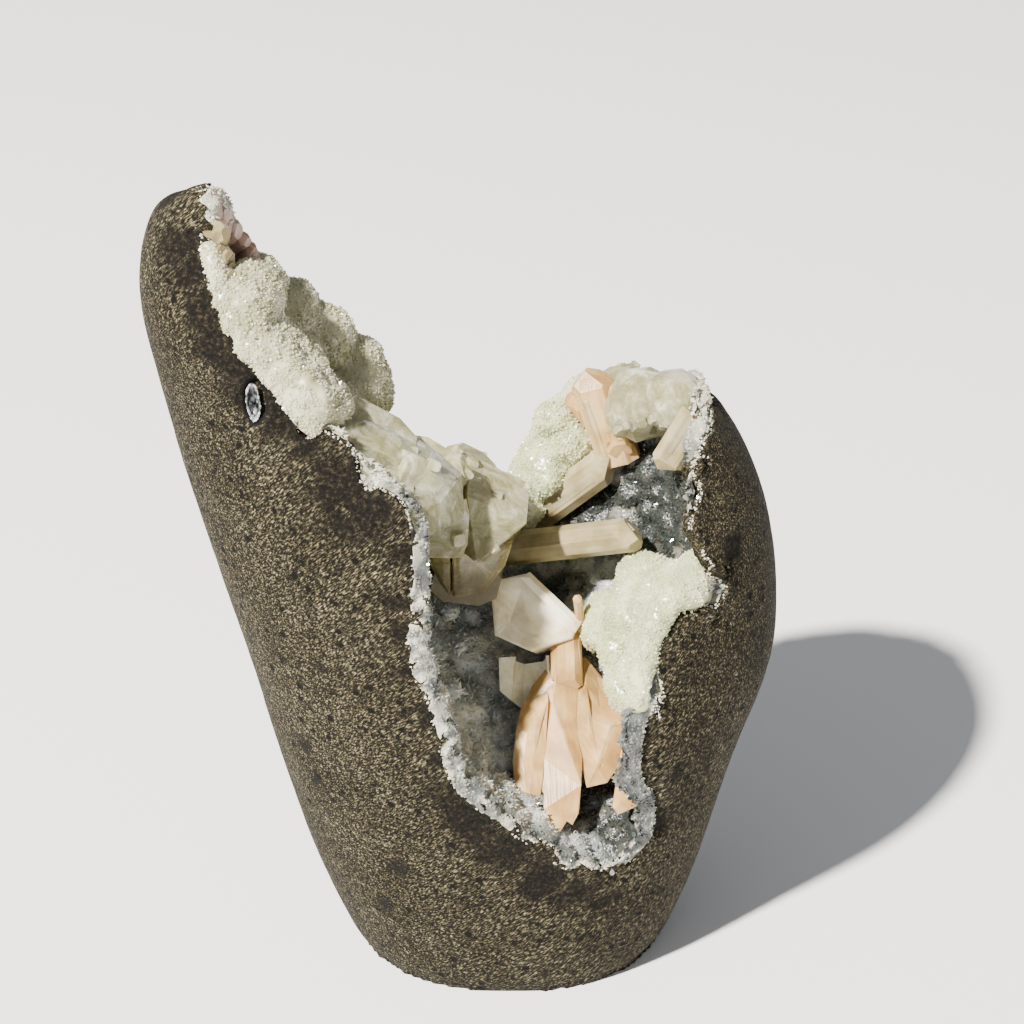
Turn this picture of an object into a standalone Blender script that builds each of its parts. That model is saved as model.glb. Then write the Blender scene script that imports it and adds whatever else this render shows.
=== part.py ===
"""Prehnite specimen: a ground basalt freeform with a crystal-lined vug.

The stone stands on a flat cut base.  Its front is hollowed by a vug that runs out
through the top as a V-shaped gap, so that a tall horn stays on the left and a lower
shoulder on the right.  The hollow is lined by one chalcedony crust, and prehnite
lumps, apophyllite blocks and stilbite blades grow out of that crust.

Metres, +Z up.  The origin is on the base, under the middle of the stone's foot.
The vug faces -Y.
"""

import math

import bmesh
import bpy
from mathutils import Matrix, Vector, noise

MM = 0.001
GAP = 0.3

# The stone's girth at rising heights, in mm: height, left, right, front, back reach.
GIRTH = [
    (0, -31, 30.5, -29.5, 27),
    (10, -35, 34, -32, 30),
    (20, -38.4, 37, -34, 32),
    (33, -42, 40, -35.5, 34.5),
    (46, -45, 43.4, -37, 36.5),
    (60, -48.2, 48, -37.5, 38),
    (72, -51.2, 48.2, -37.5, 38.5),
    (84, -54.3, 46.6, -36.5, 38),
    (94, -56.8, 43.8, -34.5, 37),
    (102, -58.8, 39.5, -32.5, 35),
    (108, -60, 35, -30.5, 33),
    (113, -61, 27, -29, 31),
    (120, -62.2, 5, -27, 29),
    (127, -63.2, -20, -24.5, 27),
    (133, -63.3, -32, -22, 25),
    (139, -62.4, -38, -19, 22.5),
    (144.5, -60.2, -42, -15.5, 19),
    (150, -56, -44, -11, 14),
]
GIRTH_SQUARENESS = 2.25
GIRTH_POINTS = 32
GIRTH_STEP = 6.5
HORN_FACET = ((-57, 0, 146.4), (-0.14, 0.4, 1.0))
SCOOP = (-27.5, -38.5, 106)
SCOOP_RADII = (8, 10.5, 10)

# The vug's wall in mm: at each depth y, (x, z) pairs from the horn's tip down the
# left wall, along the floor and up the right wall to the shoulder.
VUG = [
    (-48, [(-49, 152), (-45, 134), (-36.5, 117), (-24, 107), (-17, 99), (-17.5, 79),
           (-13, 57), (0, 40), (16, 25), (24, 35), (22, 56), (27, 77), (37, 87),
           (31, 101), (33, 118)]),
    (-33, [(-50, 153), (-48, 142), (-44, 134), (-39.5, 127), (-36, 118), (-30.5, 114.5),
           (-26.5, 111), (-22, 105.5), (-17.5, 102), (-16.5, 96), (-17.5, 83), (-17.5, 74),
           (-13.5, 62), (-11.5, 53), (-5, 44), (1.5, 38.5), (10, 31), (17, 27), (24, 33.5),
           (25, 43), (21.5, 50), (22.5, 60), (26, 69), (33, 79.5), (37.5, 86.5), (34, 92),
           (31, 99), (30, 105), (32, 111), (33, 118)]),
    (-22, [(-51.5, 151), (-49, 139), (-45.5, 131), (-41, 124), (-37.5, 115), (-32, 109),
           (-27, 103), (-23, 96), (-22, 84), (-21.5, 75), (-18, 63), (-14, 54), (-6, 44.5),
           (3, 38), (14, 31.5), (24, 35.5), (28.5, 46), (29, 58), (31, 68), (35, 78),
           (37.5, 86), (35, 94), (33.5, 101), (34, 108), (35, 115)]),
    (-8, [(-52.5, 150), (-50, 131), (-43, 113), (-33, 99), (-27.5, 88), (-24, 74),
          (-18, 61), (-6, 49), (13, 43), (27, 51), (31.5, 63), (33.5, 77), (35.5, 88),
          (34.5, 99), (35, 113)]),
    (5, [(-54, 150), (-51, 131), (-44, 113), (-34.5, 98), (-28, 86), (-22, 75),
         (-14.5, 66), (-4, 60), (10, 60), (20, 65), (26, 74), (29, 82), (31.5, 91),
         (34, 99), (35, 109)]),
    (16, [(-55, 149), (-52, 129), (-44.5, 112), (-35.5, 98), (-27.5, 87), (-19.5, 79),
          (-11, 73), (-3.5, 69.5), (3.5, 71), (9, 77), (13, 84), (18, 91), (25, 96),
          (31, 99.5), (35, 104)]),
    (30, [(-56, 148), (-53, 127), (-46, 111), (-37, 96), (-29, 86), (-21, 77), (-12, 70.5),
          (-4, 67), (2, 67), (7, 72), (11, 78), (14.5, 84.5), (20, 90), (27, 93.5),
          (34, 96)]),
    (52, [(-57, 148), (-53, 127), (-46, 110), (-37, 94), (-29, 84), (-21, 75), (-12, 68),
          (-4, 65), (2, 65), (7, 70), (11, 76), (14.5, 83), (20, 89), (27, 93),
          (34, 95)]),
]
VUG_SKY = 175
VUG_POINTS = 38
VUG_STEP = 6.6
VUG_ROUGH = 1.1
VUG_WAVES = (7.0, 3.0)
VUG_EVENING = 3
CRUST_THICKNESS = 2.5
CRUST_LUMPS = 1.0
CRUST_WAVE = 5.5

# A small vug of its own, on the front of the horn: centre, radii and lining.
VESICLE = (-42.4, -26.0, 119.0)
VESICLE_RADII = (1.9, 3.6, 4.4)
VESICLE_LINING = 0.9
BALL_SEGMENTS = (12, 8)

TO_VIEWER = (0.0, -0.88, 0.47)

# Round prehnite lumps: centre and radii in mm, and how knobbly each lump is.
KNOB_HEIGHT = 0.22
KNOB_WAVE = 0.43
HORN_LUMPS = [
    ((-44.8, -13.5, 132.2), (7.2, 8, 7.2)),
    ((-44.5, -4, 130), (6.4, 7, 7)),
    ((-40, -16.5, 124.2), (6, 6.6, 5.8)),
    ((-36.8, -17.5, 119.8), (6.8, 7.4, 6.6)),
    ((-33.2, -19, 114.2), (6.8, 7.4, 6.8)),
    ((-30, -21, 109), (4.6, 5.6, 4.6)),
    ((-38.6, 3, 123), (5.8, 6, 5.6)),
    ((-33.8, 5, 117.4), (6.4, 6.4, 6.2)),
    ((-28.6, 7, 110.6), (6.6, 6.4, 6.4)),
    ((-25.8, 6, 106.4), (4.8, 5.4, 5)),
    ((-30, 0, 106.5), (6.5, 7, 6.5)),
    ((-38, -6, 116), (6.5, 8, 7)),
    ((-43, 12, 120), (6, 7, 7)),
    ((-39, 14, 114), (6, 7, 6.5)),
    ((-35, 16, 108), (6.5, 7, 6.5)),
]
WALL_LUMPS = [
    ((3.2, 14, 81.5), (5.6, 6.5, 6.2)),
    ((7, 14, 87.5), (6.6, 7, 6.6)),
    ((10.5, 15, 94), (6.8, 7, 6.4)),
    ((14.5, 17, 99), (6, 6.5, 5)),
    ((8, 23, 84), (6, 6.5, 6)),
    ((15, 25, 93), (6, 6, 5.5)),
]
WALL_BLOCK = ((13, 13, 96), (4.4, 10.5, 99.8), 5.2, 4.6, TO_VIEWER)
MOUND_LUMPS = [
    ((32.6, -20, 82.5), (5.4, 6.5, 4.8)),
    ((28.5, -16, 77), (6.4, 6.8, 6.2)),
    ((23.4, -11, 71), (6.6, 6.4, 6.6)),
    ((18.2, -6, 65.5), (6.2, 6, 6.8)),
    ((21.6, -11.5, 62.5), (6, 6, 6.4)),
    ((21, -15.5, 57.6), (4.8, 5, 4.4)),
    ((24, -7, 75.5), (5.6, 5, 5)),
]

# Apophyllite blocks: centre, edges along, across and deep, and the turn of each.  A block's
# corners are cut by a share of its edges, and a point starts partway up its prism.
CORNER_CUT = 0.24
POINT_STARTS = 0.55
POINT_BLUNT = 0.06
SLAB_TAPER = 0.75
CLUSTER_BLOCKS = [
    ((-25.5, -17, 107), (15, 10, 11), (20, 33, 8)),
    ((-18.5, -19, 101.5), (9, 10, 9), (-15, 40, 30)),
    ((-15.5, -12, 97), (12, 12, 12), (35, 25, -20)),
    ((-8, -2, 93), (9, 10, 8), (15, 35, 25)),
    ((-13, -15, 91), (8.5, 10, 10), (-20, 10, 15)),
    ((-3.6, 2, 84), (7, 9, 8), (30, -20, 10)),
    ((-8.6, -6.5, 78), (12, 11, 8.5), (5, 12, 6)),
    ((-14, -2, 84), (12, 13, 13), (10, 30, 40)),
]
CLUSTER_POINT = ((-4.8, -1, 91), (-6, -18, 85.6), 12, 11, (0.5, -0.4, 0.75))
PLATE = [(-2.4, -9, 60.6), (8.8, -8, 60.6), (7.4, -13, 53.4), (3.2, -14, 51.4), (-2.2, -11.5, 55)]
PLATE_DEPTH = (-0.5, 4.5, -4)
SHOULDER_LUMPS = [
    ((23.5, 8, 103.6), (7.6, 7, 6.4)),
    ((29, 4, 106), (6.2, 7, 5.6)),
    ((21, 15, 102), (6.5, 6.5, 5)),
    ((28.5, 14, 101.5), (6, 6.5, 4.6)),
]

# The cross-section of a stilbite blade, and where along it the blade is how wide and thick.
BLADE_SECTION = [(1, -0.35), (1, 0.35), (0.6, 1), (-0.6, 1), (-1, 0.35), (-1, -0.35), (-0.6, -1),
                 (0.6, -1)]
BLADE_FORM = [(0, 0.7, 0.8), (0.25, 0.9, 1), (0.8, 1, 1), (1, 0.42, 0.3)]

# Stilbite crystals: foot, tip, breadth, thickness and the way the broad face looks.
TIP_BLADES = [
    ((-52, -6, 138), (-48.6, -12, 149), 7.4, 5, TO_VIEWER),
    ((-51.5, -2, 136), (-44.6, -7.5, 145), 7.4, 5, TO_VIEWER),
    ((-50, -1, 133), (-42.2, -5.5, 139), 7, 5, TO_VIEWER),
    ((-51, -6, 134), (-46.4, -15, 143), 7.5, 6, TO_VIEWER),
]
CREST_BLADES = [
    ((19.6, 9, 91.5), (13.4, 11, 109.6), 8, 6.5, (-0.3, -0.85, 0.4)),
    ((14.6, 14, 93), (11.4, 13, 103.5), 5, 5, TO_VIEWER),
    ((18, 12, 104), (20.2, 6.5, 92.4), 6.4, 5, TO_VIEWER),
]
HANGER_BLADE = [((30.6, 5, 106.5), (25.4, 0, 96), 5.4, 4.4, TO_VIEWER)]
LONG_BLADE = [((-1.5, 15, 72), (18.6, 6, 93.6), 7, 4.6, (0.25, -0.75, 0.6))]
ROD = [((-5, 7.5, 73.4), (23.4, -6, 84.6), 6.2, 6, (0, -0.7, 0.7))]
BLOCK_FACE = [(-4, -4, 73.6), (2.4, -2, 74.2), (12, -7, 66.8), (11, -9, 64.6), (3.4, -11.5, 63.4),
              (-3.2, -8.5, 65)]
BLOCK_DEPTH = (1.5, 8, -7)
SHEAF_BLADES = [
    ((9.6, -3, 66), (10, -14, 55), 6, 5, TO_VIEWER),
    ((3.4, -8, 60), (3, -27, 38.6), 7.2, 6, (-0.2, -0.8, 0.55)),
    ((10.4, -8, 61), (8.1, -31.6, 34.6), 7.6, 6.6, (0.15, -0.8, 0.55)),
    ((14, -7, 61), (16.6, -25.5, 42.5), 10.4, 8.6, (0.25, -0.8, 0.5)),
    ((13, -5, 62), (11.6, -9, 73.4), 1.8, 1.8, TO_VIEWER),
]
STUB_BLADES = [
    ((22.6, -19, 51), (20.4, -26, 40.6), 5.4, 4.6, TO_VIEWER),
    ((24, -15, 52), (22.4, -20, 46.4), 4, 4, TO_VIEWER),
]


def clear_scene():
    """Empties the scene, so that the model is all there is."""
    for leftover in list(bpy.data.objects):
        bpy.data.objects.remove(leftover, do_unlink=True)


def linear(hex_colour):
    """One sRGB hex colour as the linear red, green, blue and alpha of a shader."""
    channels = [int(hex_colour[i:i + 2], 16) / 255 for i in (1, 3, 5)]
    return [c / 12.92 if c <= 0.04045 else ((c + 0.055) / 1.055) ** 2.4 for c in channels] + [1]


def material(name, hex_colour, roughness):
    """A plain Principled material; nothing on a stone is metallic."""
    stuff = bpy.data.materials.new(name)
    stuff.use_nodes = True
    shader = stuff.node_tree.nodes["Principled BSDF"]
    shader.inputs["Base Color"].default_value = linear(hex_colour)
    shader.inputs["Roughness"].default_value = roughness
    shader.inputs["Metallic"].default_value = 0
    stuff.diffuse_color = linear(hex_colour)
    return stuff


def between(rows, place):
    """The row of numbers at a place along rows that start with their own place."""
    count = len(rows)
    i = max(k for k in range(count - 1) if k == 0 or rows[k][0] <= place)
    t = (place - rows[i][0]) / (rows[i + 1][0] - rows[i][0])
    a, b, c, d = (rows[min(max(k, 0), count - 1)] for k in (i - 1, i, i + 1, i + 2))
    span = c[0] - b[0]

    def slope(left, right, k):
        return (right[k] - left[k]) / (right[0] - left[0]) * span

    out = []
    for k in range(1, len(b)):
        out.append((2 * t ** 3 - 3 * t ** 2 + 1) * b[k] + (t ** 3 - 2 * t ** 2 + t) * slope(a, c, k)
                   + (3 * t ** 2 - 2 * t ** 3) * c[k] + (t ** 3 - t ** 2) * slope(b, d, k))
    return out


def even_places(first, last, step):
    """Places from first to last, about a step apart."""
    count = max(1, round((last - first) / step))
    return [first + (last - first) * i / count for i in range(count + 1)]


def along(points, count):
    """A smooth line through points, as count points evenly far apart."""
    rows = [(0.0, *points[0])]
    for before, after in zip(points, points[1:]):
        rows.append((rows[-1][0] + math.dist(before, after), *after))
    return [between(rows, rows[-1][0] * i / (count - 1)) for i in range(count)]


def loft(rings):
    """A closed body through rings of equal count, by extruding a face from each to the next."""
    bm = bmesh.new()
    face = bm.faces.new([bm.verts.new(Vector(p)) for p in rings[0]])
    bmesh.ops.duplicate(bm, geom=[face])
    bm.faces.ensure_lookup_table()
    for ring in rings[1:]:
        grown = bmesh.ops.extrude_discrete_faces(bm, faces=[face])["faces"][0]
        face = grown
        for vert, place in zip(face.verts, ring):
            vert.co = place
    bmesh.ops.remove_doubles(bm, verts=bm.verts, dist=1e-5)
    bmesh.ops.recalc_face_normals(bm, faces=bm.faces)
    return bm


def solid(name, bm):
    """An object from a bmesh worked in millimetres."""
    mesh = bpy.data.meshes.new(name)
    bmesh.ops.scale(bm, vec=(MM, MM, MM), verts=bm.verts)
    bmesh.ops.triangulate(bm, faces=[f for f in bm.faces if len(f.verts) > 4])
    bm.to_mesh(mesh)
    bm.free()
    thing = bpy.data.objects.new(name, mesh)
    bpy.context.scene.collection.objects.link(thing)
    return thing


def finish(thing, name, stuff):
    """Gives a finished node its name and its one material."""
    thing.name = name
    thing.data.materials.clear()
    thing.data.materials.append(stuff)


def combine(thing, other, operation):
    """Joins, cuts or clips a thing with another, which is used up.

    The manifold solver goes first: the exact one left pinched corners where the two rough
    walls of the crust come close, and gave nothing at all for the crystals at the horn's tip.
    """
    tool = thing.modifiers.new(operation.lower(), "BOOLEAN")
    tool.operation = operation
    tool.object = other
    for solver in ("MANIFOLD", "EXACT"):
        tool.solver = solver
        depsgraph = bpy.context.evaluated_depsgraph_get()
        result = bpy.data.meshes.new_from_object(thing.evaluated_get(depsgraph))
        if result.polygons:
            break
    thing.modifiers.remove(tool)
    thing.data = result
    bpy.data.objects.remove(other, do_unlink=True)
    return thing


def keep_largest(thing):
    """Drops the chips that a cut has left loose beside the main body."""
    bm = bmesh.new()
    bm.from_mesh(thing.data)
    bodies, seen = [], set()
    for start in bm.faces:
        if start in seen:
            continue
        body, rim = {start}, [start]
        while rim:
            face = rim.pop()
            for other in (f for edge in face.edges for f in edge.link_faces):
                if other not in body:
                    body.add(other)
                    rim.append(other)
        seen |= body
        bodies.append(body)
    bodies.sort(key=len)
    bmesh.ops.delete(bm, geom=[f for body in bodies[:-1] for f in body], context="FACES")
    bm.to_mesh(thing.data)
    bm.free()


def ball(centre, radii):
    """A plain ellipsoid, for a scoop or a bubble."""
    bm = bmesh.new()
    around, up = BALL_SEGMENTS
    bmesh.ops.create_uvsphere(bm, u_segments=around, v_segments=up, radius=1)
    bmesh.ops.scale(bm, vec=radii, verts=bm.verts)
    bmesh.ops.translate(bm, vec=centre, verts=bm.verts)
    return bm


def stone_ring(height):
    """The stone's outline at one height: a squared ellipse through its four reaches."""
    left, right, front, back = between(GIRTH, height)
    ring = []
    for i in range(GIRTH_POINTS):
        angle = 2 * math.pi * i / GIRTH_POINTS
        across = math.copysign(abs(math.cos(angle)) ** (2 / GIRTH_SQUARENESS), math.cos(angle))
        deep = abs(math.sin(angle)) ** (2 / GIRTH_SQUARENESS)
        reach = back if math.sin(angle) > 0 else front
        ring.append(((left + right) / 2 + (right - left) / 2 * across, reach * deep, height))
    return ring


def stone():
    """The ground outside of the stone with its one scoop, before its hollow is cut."""
    bm = loft([stone_ring(z) for z in even_places(GIRTH[0][0], GIRTH[-1][0], GIRTH_STEP)])
    place, normal = HORN_FACET
    bmesh.ops.bisect_plane(bm, geom=bm.verts[:] + bm.edges[:] + bm.faces[:], dist=1e-4,
                           plane_co=place, plane_no=normal, clear_outer=True)
    bmesh.ops.holes_fill(bm, edges=[e for e in bm.edges if e.is_boundary])
    bmesh.ops.recalc_face_normals(bm, faces=bm.faces)
    return combine(solid("stone", bm), solid("scoop", ball(SCOOP, SCOOP_RADII)), "DIFFERENCE")


def vug(inset=0.0, lumps=0.0):
    """The hollow as a solid, its wall drawn in by an inset and raised into lumps."""
    rows = [(y, *[n for point in along(wall, VUG_POINTS) for n in point]) for y, wall in VUG]
    rings = []
    for y in even_places(VUG[0][0], VUG[-1][0], VUG_STEP):
        flat = between(rows, y)
        wall = [(flat[i], y, flat[i + 1]) for i in range(0, len(flat), 2)]
        rings.append([(wall[0][0], y, VUG_SKY)] + wall + [(wall[-1][0], y, VUG_SKY)])
    bm = loft(rings)
    bmesh.ops.triangulate(bm, faces=bm.faces)
    bm.normal_update()
    away = {v: v.normal.copy() for v in bm.verts}
    for _ in range(VUG_EVENING):
        away = {v: sum((away[e.other_vert(v)] for e in v.link_edges), away[v] * 2).normalized()
                for v in bm.verts}
    moves = []
    for vert in bm.verts:
        if vert.co.z < VUG_SKY - 1 and VUG[0][0] < vert.co.y < VUG[-1][0]:
            rough = sum(noise.noise(vert.co / wave) * VUG_ROUGH / (k + 1)
                        for k, wave in enumerate(VUG_WAVES))
            swell = 1 - abs(noise.noise(vert.co / CRUST_WAVE)) * 2
            moves.append((vert, away[vert] * (rough - inset - swell * lumps)))
    for vert, move in moves:
        vert.co += move
    return bm


def vesicle(shrink=0.0):
    """The small tall bubble in the front of the horn."""
    return ball(VESICLE, [r - shrink for r in VESICLE_RADII])


def vesicle_lining():
    """The pale ring of chalcedony that lines the small bubble."""
    ring = combine(stone(), solid("bubble", vesicle(GAP)), "INTERSECT")
    ring = combine(ring, solid("bubble", vesicle(GAP + VESICLE_LINING)), "DIFFERENCE")
    finish(ring, "vesicle_lining", material("pale_chalcedony", "#c9cbc8", 0.4))


def basalt_matrix():
    """The basalt itself, hollowed by the vug and the small bubble."""
    rock = combine(stone(), solid("vug", vug()), "DIFFERENCE")
    rock = combine(rock, solid("bubble", vesicle()), "DIFFERENCE")
    keep_largest(rock)
    finish(rock, "basalt_matrix", material("basalt", "#4b453d", 0.8))


def chalcedony_crust():
    """The druzy crust on the whole wall of the hollow, ground flush at the rim."""
    crust = combine(stone(), solid("vug", vug(GAP)), "INTERSECT")
    crust = combine(crust, solid("vug", vug(CRUST_THICKNESS, CRUST_LUMPS)), "DIFFERENCE")
    keep_largest(crust)
    finish(crust, "chalcedony_crust", material("chalcedony", "#8d949c", 0.3))


def lump(centre, radii, grow=0.0):
    """One rounded lump, knobbly as prehnite is."""
    bm = bmesh.new()
    bmesh.ops.create_icosphere(bm, subdivisions=2, radius=1)
    for vert in bm.verts:
        knob = 1 + KNOB_HEIGHT * noise.noise(vert.co / KNOB_WAVE + Vector(centre))
        vert.co = [c + vert.co[k] * (radii[k] * knob + grow) for k, c in enumerate(centre)]
    return bm


def crystal(foot, tip, breadth, thickness, looks, grow=0.0):
    """One stilbite blade: a flat eight-sided prism that ends in a blunt wedge."""
    foot, tip = Vector(foot), Vector(tip)
    run = (tip - foot).normalized()
    deep = (Vector(looks) - run * run.dot(Vector(looks))).normalized()
    across = deep.cross(run)
    wide, thick = breadth / 2 + grow, thickness / 2 + grow
    length = (tip - foot).length + 2 * grow
    rings = []
    for place, a, b in BLADE_FORM:
        middle = foot + run * (place * length - grow)
        rings.append([middle + across * wide * a * u + deep * thick * b * v for u, v in BLADE_SECTION])
    return loft(rings)


def block(centre, edges, turns, grow=0.0):
    """One apophyllite block: a squarish prism with its corners cut."""
    bm = bmesh.new()
    bmesh.ops.create_cube(bm, size=1)
    bmesh.ops.bevel(bm, geom=bm.verts[:] + bm.edges[:], offset=CORNER_CUT, offset_type="OFFSET",
                    affect="VERTICES", segments=1, profile=0.5, material=-1)
    spin = Matrix.Identity(3)
    for turn, axis in zip(turns, "XYZ"):
        spin = Matrix.Rotation(math.radians(turn), 3, axis) @ spin
    for vert in bm.verts:
        vert.co = Vector([vert.co[k] * (edges[k] + 2 * grow) for k in range(3)])
        vert.co = Vector(centre) + spin @ vert.co
    return bm


def pyramid(foot, tip, breadth, thickness, looks, grow=0.0):
    """One apophyllite prism that ends in a four-sided point."""
    foot, tip = Vector(foot), Vector(tip)
    run = (tip - foot).normalized()
    deep = (Vector(looks) - run * run.dot(Vector(looks))).normalized()
    across = deep.cross(run)
    length = (tip - foot).length
    corners = [(1, 1), (-1, 1), (-1, -1), (1, -1)]
    rings = []
    for place, size in [(-grow, 1), (POINT_STARTS * length, 1), (length + grow, POINT_BLUNT)]:
        rings.append([foot + run * place + (across * (breadth / 2 + grow) * u
                                            + deep * (thickness / 2 + grow) * v) * size
                      for u, v in corners])
    return loft(rings)


def slab(face, depth, grow=0.0):
    """One flat-faced plate: an outline carried back along its depth, a little smaller."""
    face = [Vector(p) for p in face]
    middle = sum(face, Vector()) / len(face)
    depth = Vector(depth)
    out = depth.normalized()
    front = [p + (p - middle).normalized() * grow - out * grow for p in face]
    back = [middle + (p - middle) * SLAB_TAPER + (p - middle).normalized() * grow + depth + out * grow
            for p in face]
    return loft([front, back])


def group(name, shapes, grow=0.0):
    """Crystals that have grown together, as one solid; each shape is a maker and its values."""
    thing = None
    for maker, *values in shapes:
        grown = solid(name, maker(*values, grow=grow))
        thing = combine(thing, grown, "UNION") if thing else grown
    return thing


def shapes(maker, rows):
    """Rows of values, each with the maker that turns it into a body."""
    return [(maker, *row) for row in rows]


MINERALS = {
    "apophyllite_cluster": ("apophyllite", shapes(block, CLUSTER_BLOCKS) + [(pyramid, *CLUSTER_POINT)]),
    "stilbite_sheaf": ("stilbite", [(slab, BLOCK_FACE, BLOCK_DEPTH)] + shapes(crystal, SHEAF_BLADES)),
    "stilbite_crest": ("stilbite", shapes(crystal, CREST_BLADES)),
    "stilbite_blade": ("stilbite", shapes(crystal, LONG_BLADE)),
    "stilbite_rod": ("stilbite", shapes(crystal, ROD)),
    "stilbite_hanger": ("stilbite", shapes(crystal, HANGER_BLADE)),
    "stilbite_tip": ("stilbite", shapes(crystal, TIP_BLADES)),
    "stilbite_stub": ("stilbite", shapes(crystal, STUB_BLADES)),
    "apophyllite_plate": ("apophyllite", [(slab, PLATE, PLATE_DEPTH)]),
    "apophyllite_shoulder": ("apophyllite", shapes(lump, SHOULDER_LUMPS)),
    "prehnite_mound": ("prehnite", shapes(lump, MOUND_LUMPS)),
    "prehnite_wall": ("prehnite", shapes(lump, WALL_LUMPS) + [(crystal, *WALL_BLOCK)]),
    "prehnite_horn": ("prehnite", shapes(lump, HORN_LUMPS)),
}


def reach(thing):
    """The lowest and highest corner of a thing."""
    places = [v.co for v in thing.data.vertices]
    return [min(p[k] for p in places) for k in range(3)], [max(p[k] for p in places) for k in range(3)]


def near(thing, other):
    """Whether two things could meet: their boxes overlap."""
    (low, high), (other_low, other_high) = reach(thing), reach(other)
    return all(low[k] < other_high[k] and other_low[k] < high[k] for k in range(3))


def minerals():
    """Every crystal group, clipped to the open hollow and cut clear of those before it."""
    stuffs = {"apophyllite": material("apophyllite", "#b5b08c", 0.2),
              "stilbite": material("stilbite", "#d9bfa5", 0.35),
              "prehnite": material("prehnite", "#bcc3ab", 0.4)}
    for place, (name, (mineral, parts)) in enumerate(MINERALS.items()):
        thing = group(name, parts)
        thing = combine(thing, solid("open", vug(CRUST_THICKNESS + GAP, CRUST_LUMPS)), "INTERSECT")
        if name == "apophyllite_shoulder":
            thing = combine(thing, stone(), "INTERSECT")
        for _, neighbours in list(MINERALS.values())[:place]:
            room = group("room", neighbours, GAP)
            if near(thing, room):
                thing = combine(thing, room, "DIFFERENCE")
            else:
                bpy.data.objects.remove(room, do_unlink=True)
        keep_largest(thing)
        finish(thing, name, stuffs[mineral])


def main():
    """Builds the rock, its two linings and what grows in the hollow."""
    clear_scene()
    basalt_matrix()
    vesicle_lining()
    chalcedony_crust()
    minerals()


main()
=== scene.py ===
# %% [markdown]
# # A zeolite vug in ground basalt
#
# This script dresses one natural specimen: an upright piece of basalt, ground to a smooth
# freeform and cut flat below, whose open hollow is lined with a sparkling chalcedony crust.
# Pale green prehnite, glassy apophyllite and peach stilbite grow out of that crust.
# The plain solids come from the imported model, in metres, with +Z up and the hollow facing -Y.
# Every piece here starts from one of those solids, or from the same measures, and gets the
# grain, steps and facets that the eye looks for.

# %% Load the plain model
import math

import bmesh
import bpy
import numpy as np
from mathutils import Matrix, Vector, noise
from mathutils.bvhtree import BVHTree
from mathutils.kdtree import KDTree


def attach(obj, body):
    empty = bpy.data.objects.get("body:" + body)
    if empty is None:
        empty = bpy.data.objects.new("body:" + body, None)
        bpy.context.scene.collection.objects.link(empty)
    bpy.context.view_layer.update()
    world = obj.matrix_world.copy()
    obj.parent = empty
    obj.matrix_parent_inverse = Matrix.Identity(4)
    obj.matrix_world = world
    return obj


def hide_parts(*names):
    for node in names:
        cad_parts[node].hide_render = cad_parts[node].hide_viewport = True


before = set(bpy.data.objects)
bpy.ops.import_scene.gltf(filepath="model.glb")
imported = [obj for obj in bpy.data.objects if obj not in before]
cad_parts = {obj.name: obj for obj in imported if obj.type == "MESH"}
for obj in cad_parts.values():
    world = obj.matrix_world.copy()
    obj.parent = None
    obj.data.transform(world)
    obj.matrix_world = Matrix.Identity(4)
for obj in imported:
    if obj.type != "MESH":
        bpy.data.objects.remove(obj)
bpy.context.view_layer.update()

MM = 0.001

# %% [markdown]
# ## Colours and shader nodes
#
# Colours are written as sRGB hex values, as a colour picker shows them, and the shader wants
# them linear.  One function adds any shader node with its settings and links, so that each
# material below reads as a short list of steps.  A pattern's scale is the number of its
# features in a metre, so it is worked out from the size of one feature in millimetres.

# %% Helpers for colours and shader nodes
def linear(hex_colour):
    """One sRGB hex colour as linear red, green, blue and alpha."""
    channels = [int(hex_colour[i:i + 2], 16) / 255 for i in (1, 3, 5)]
    return [c / 12.92 if c <= 0.04045 else ((c + 0.055) / 1.055) ** 2.4 for c in channels] + [1]


def per_metre(feature_mm):
    """The scale of a pattern whose features are this many millimetres wide."""
    return 1 / (feature_mm * MM)


def add_node(tree, kind, values=None, links=None, stops=None, **settings):
    """Adds a node: values and links go to its inputs, stops to its ramp, settings to itself."""
    node = tree.nodes.new(kind)
    for name, value in settings.items():
        setattr(node, name, value)
    for socket, value in (values or {}).items():
        node.inputs[socket].default_value = value
    for socket, source in (links or {}).items():
        tree.links.new(source, node.inputs[socket])
    for i, (position, colour) in enumerate(stops or []):
        if i >= len(node.color_ramp.elements):
            node.color_ramp.elements.new(position)
        node.color_ramp.elements[i].position = position
        node.color_ramp.elements[i].color = linear(colour)
    return node


def new_material(name, values):
    """A material, its nodes, its shader with plain values, and its place on the object."""
    made = bpy.data.materials.new(name)
    made.use_nodes = True
    tree = made.node_tree
    shader = tree.nodes["Principled BSDF"]
    for socket, value in values.items():
        shader.inputs[socket].default_value = value
    place = add_node(tree, "ShaderNodeTexCoord").outputs["Object"]
    return made, tree, shader, place


print("colour helpers are ready, white is", linear("#ffffff"))

# %% [markdown]
# ## Camera
#
# The camera looks down by 28 degrees at the middle of the hollow.  It stands close, so the horn
# leans a little towards it: a longer lens from further off would show the stone as large, but
# without that lean.

# %% Camera
CAMERA_TARGET = Vector((0, 0, 85.6)) * MM
CAMERA_HEIGHT_ANGLE = math.radians(28)
CAMERA_DISTANCE = 430 * MM
CAMERA_LENS_MM = 84.4
CAMERA_SENSOR_MM = 36
CAMERA_NEAREST = 0.02

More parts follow.
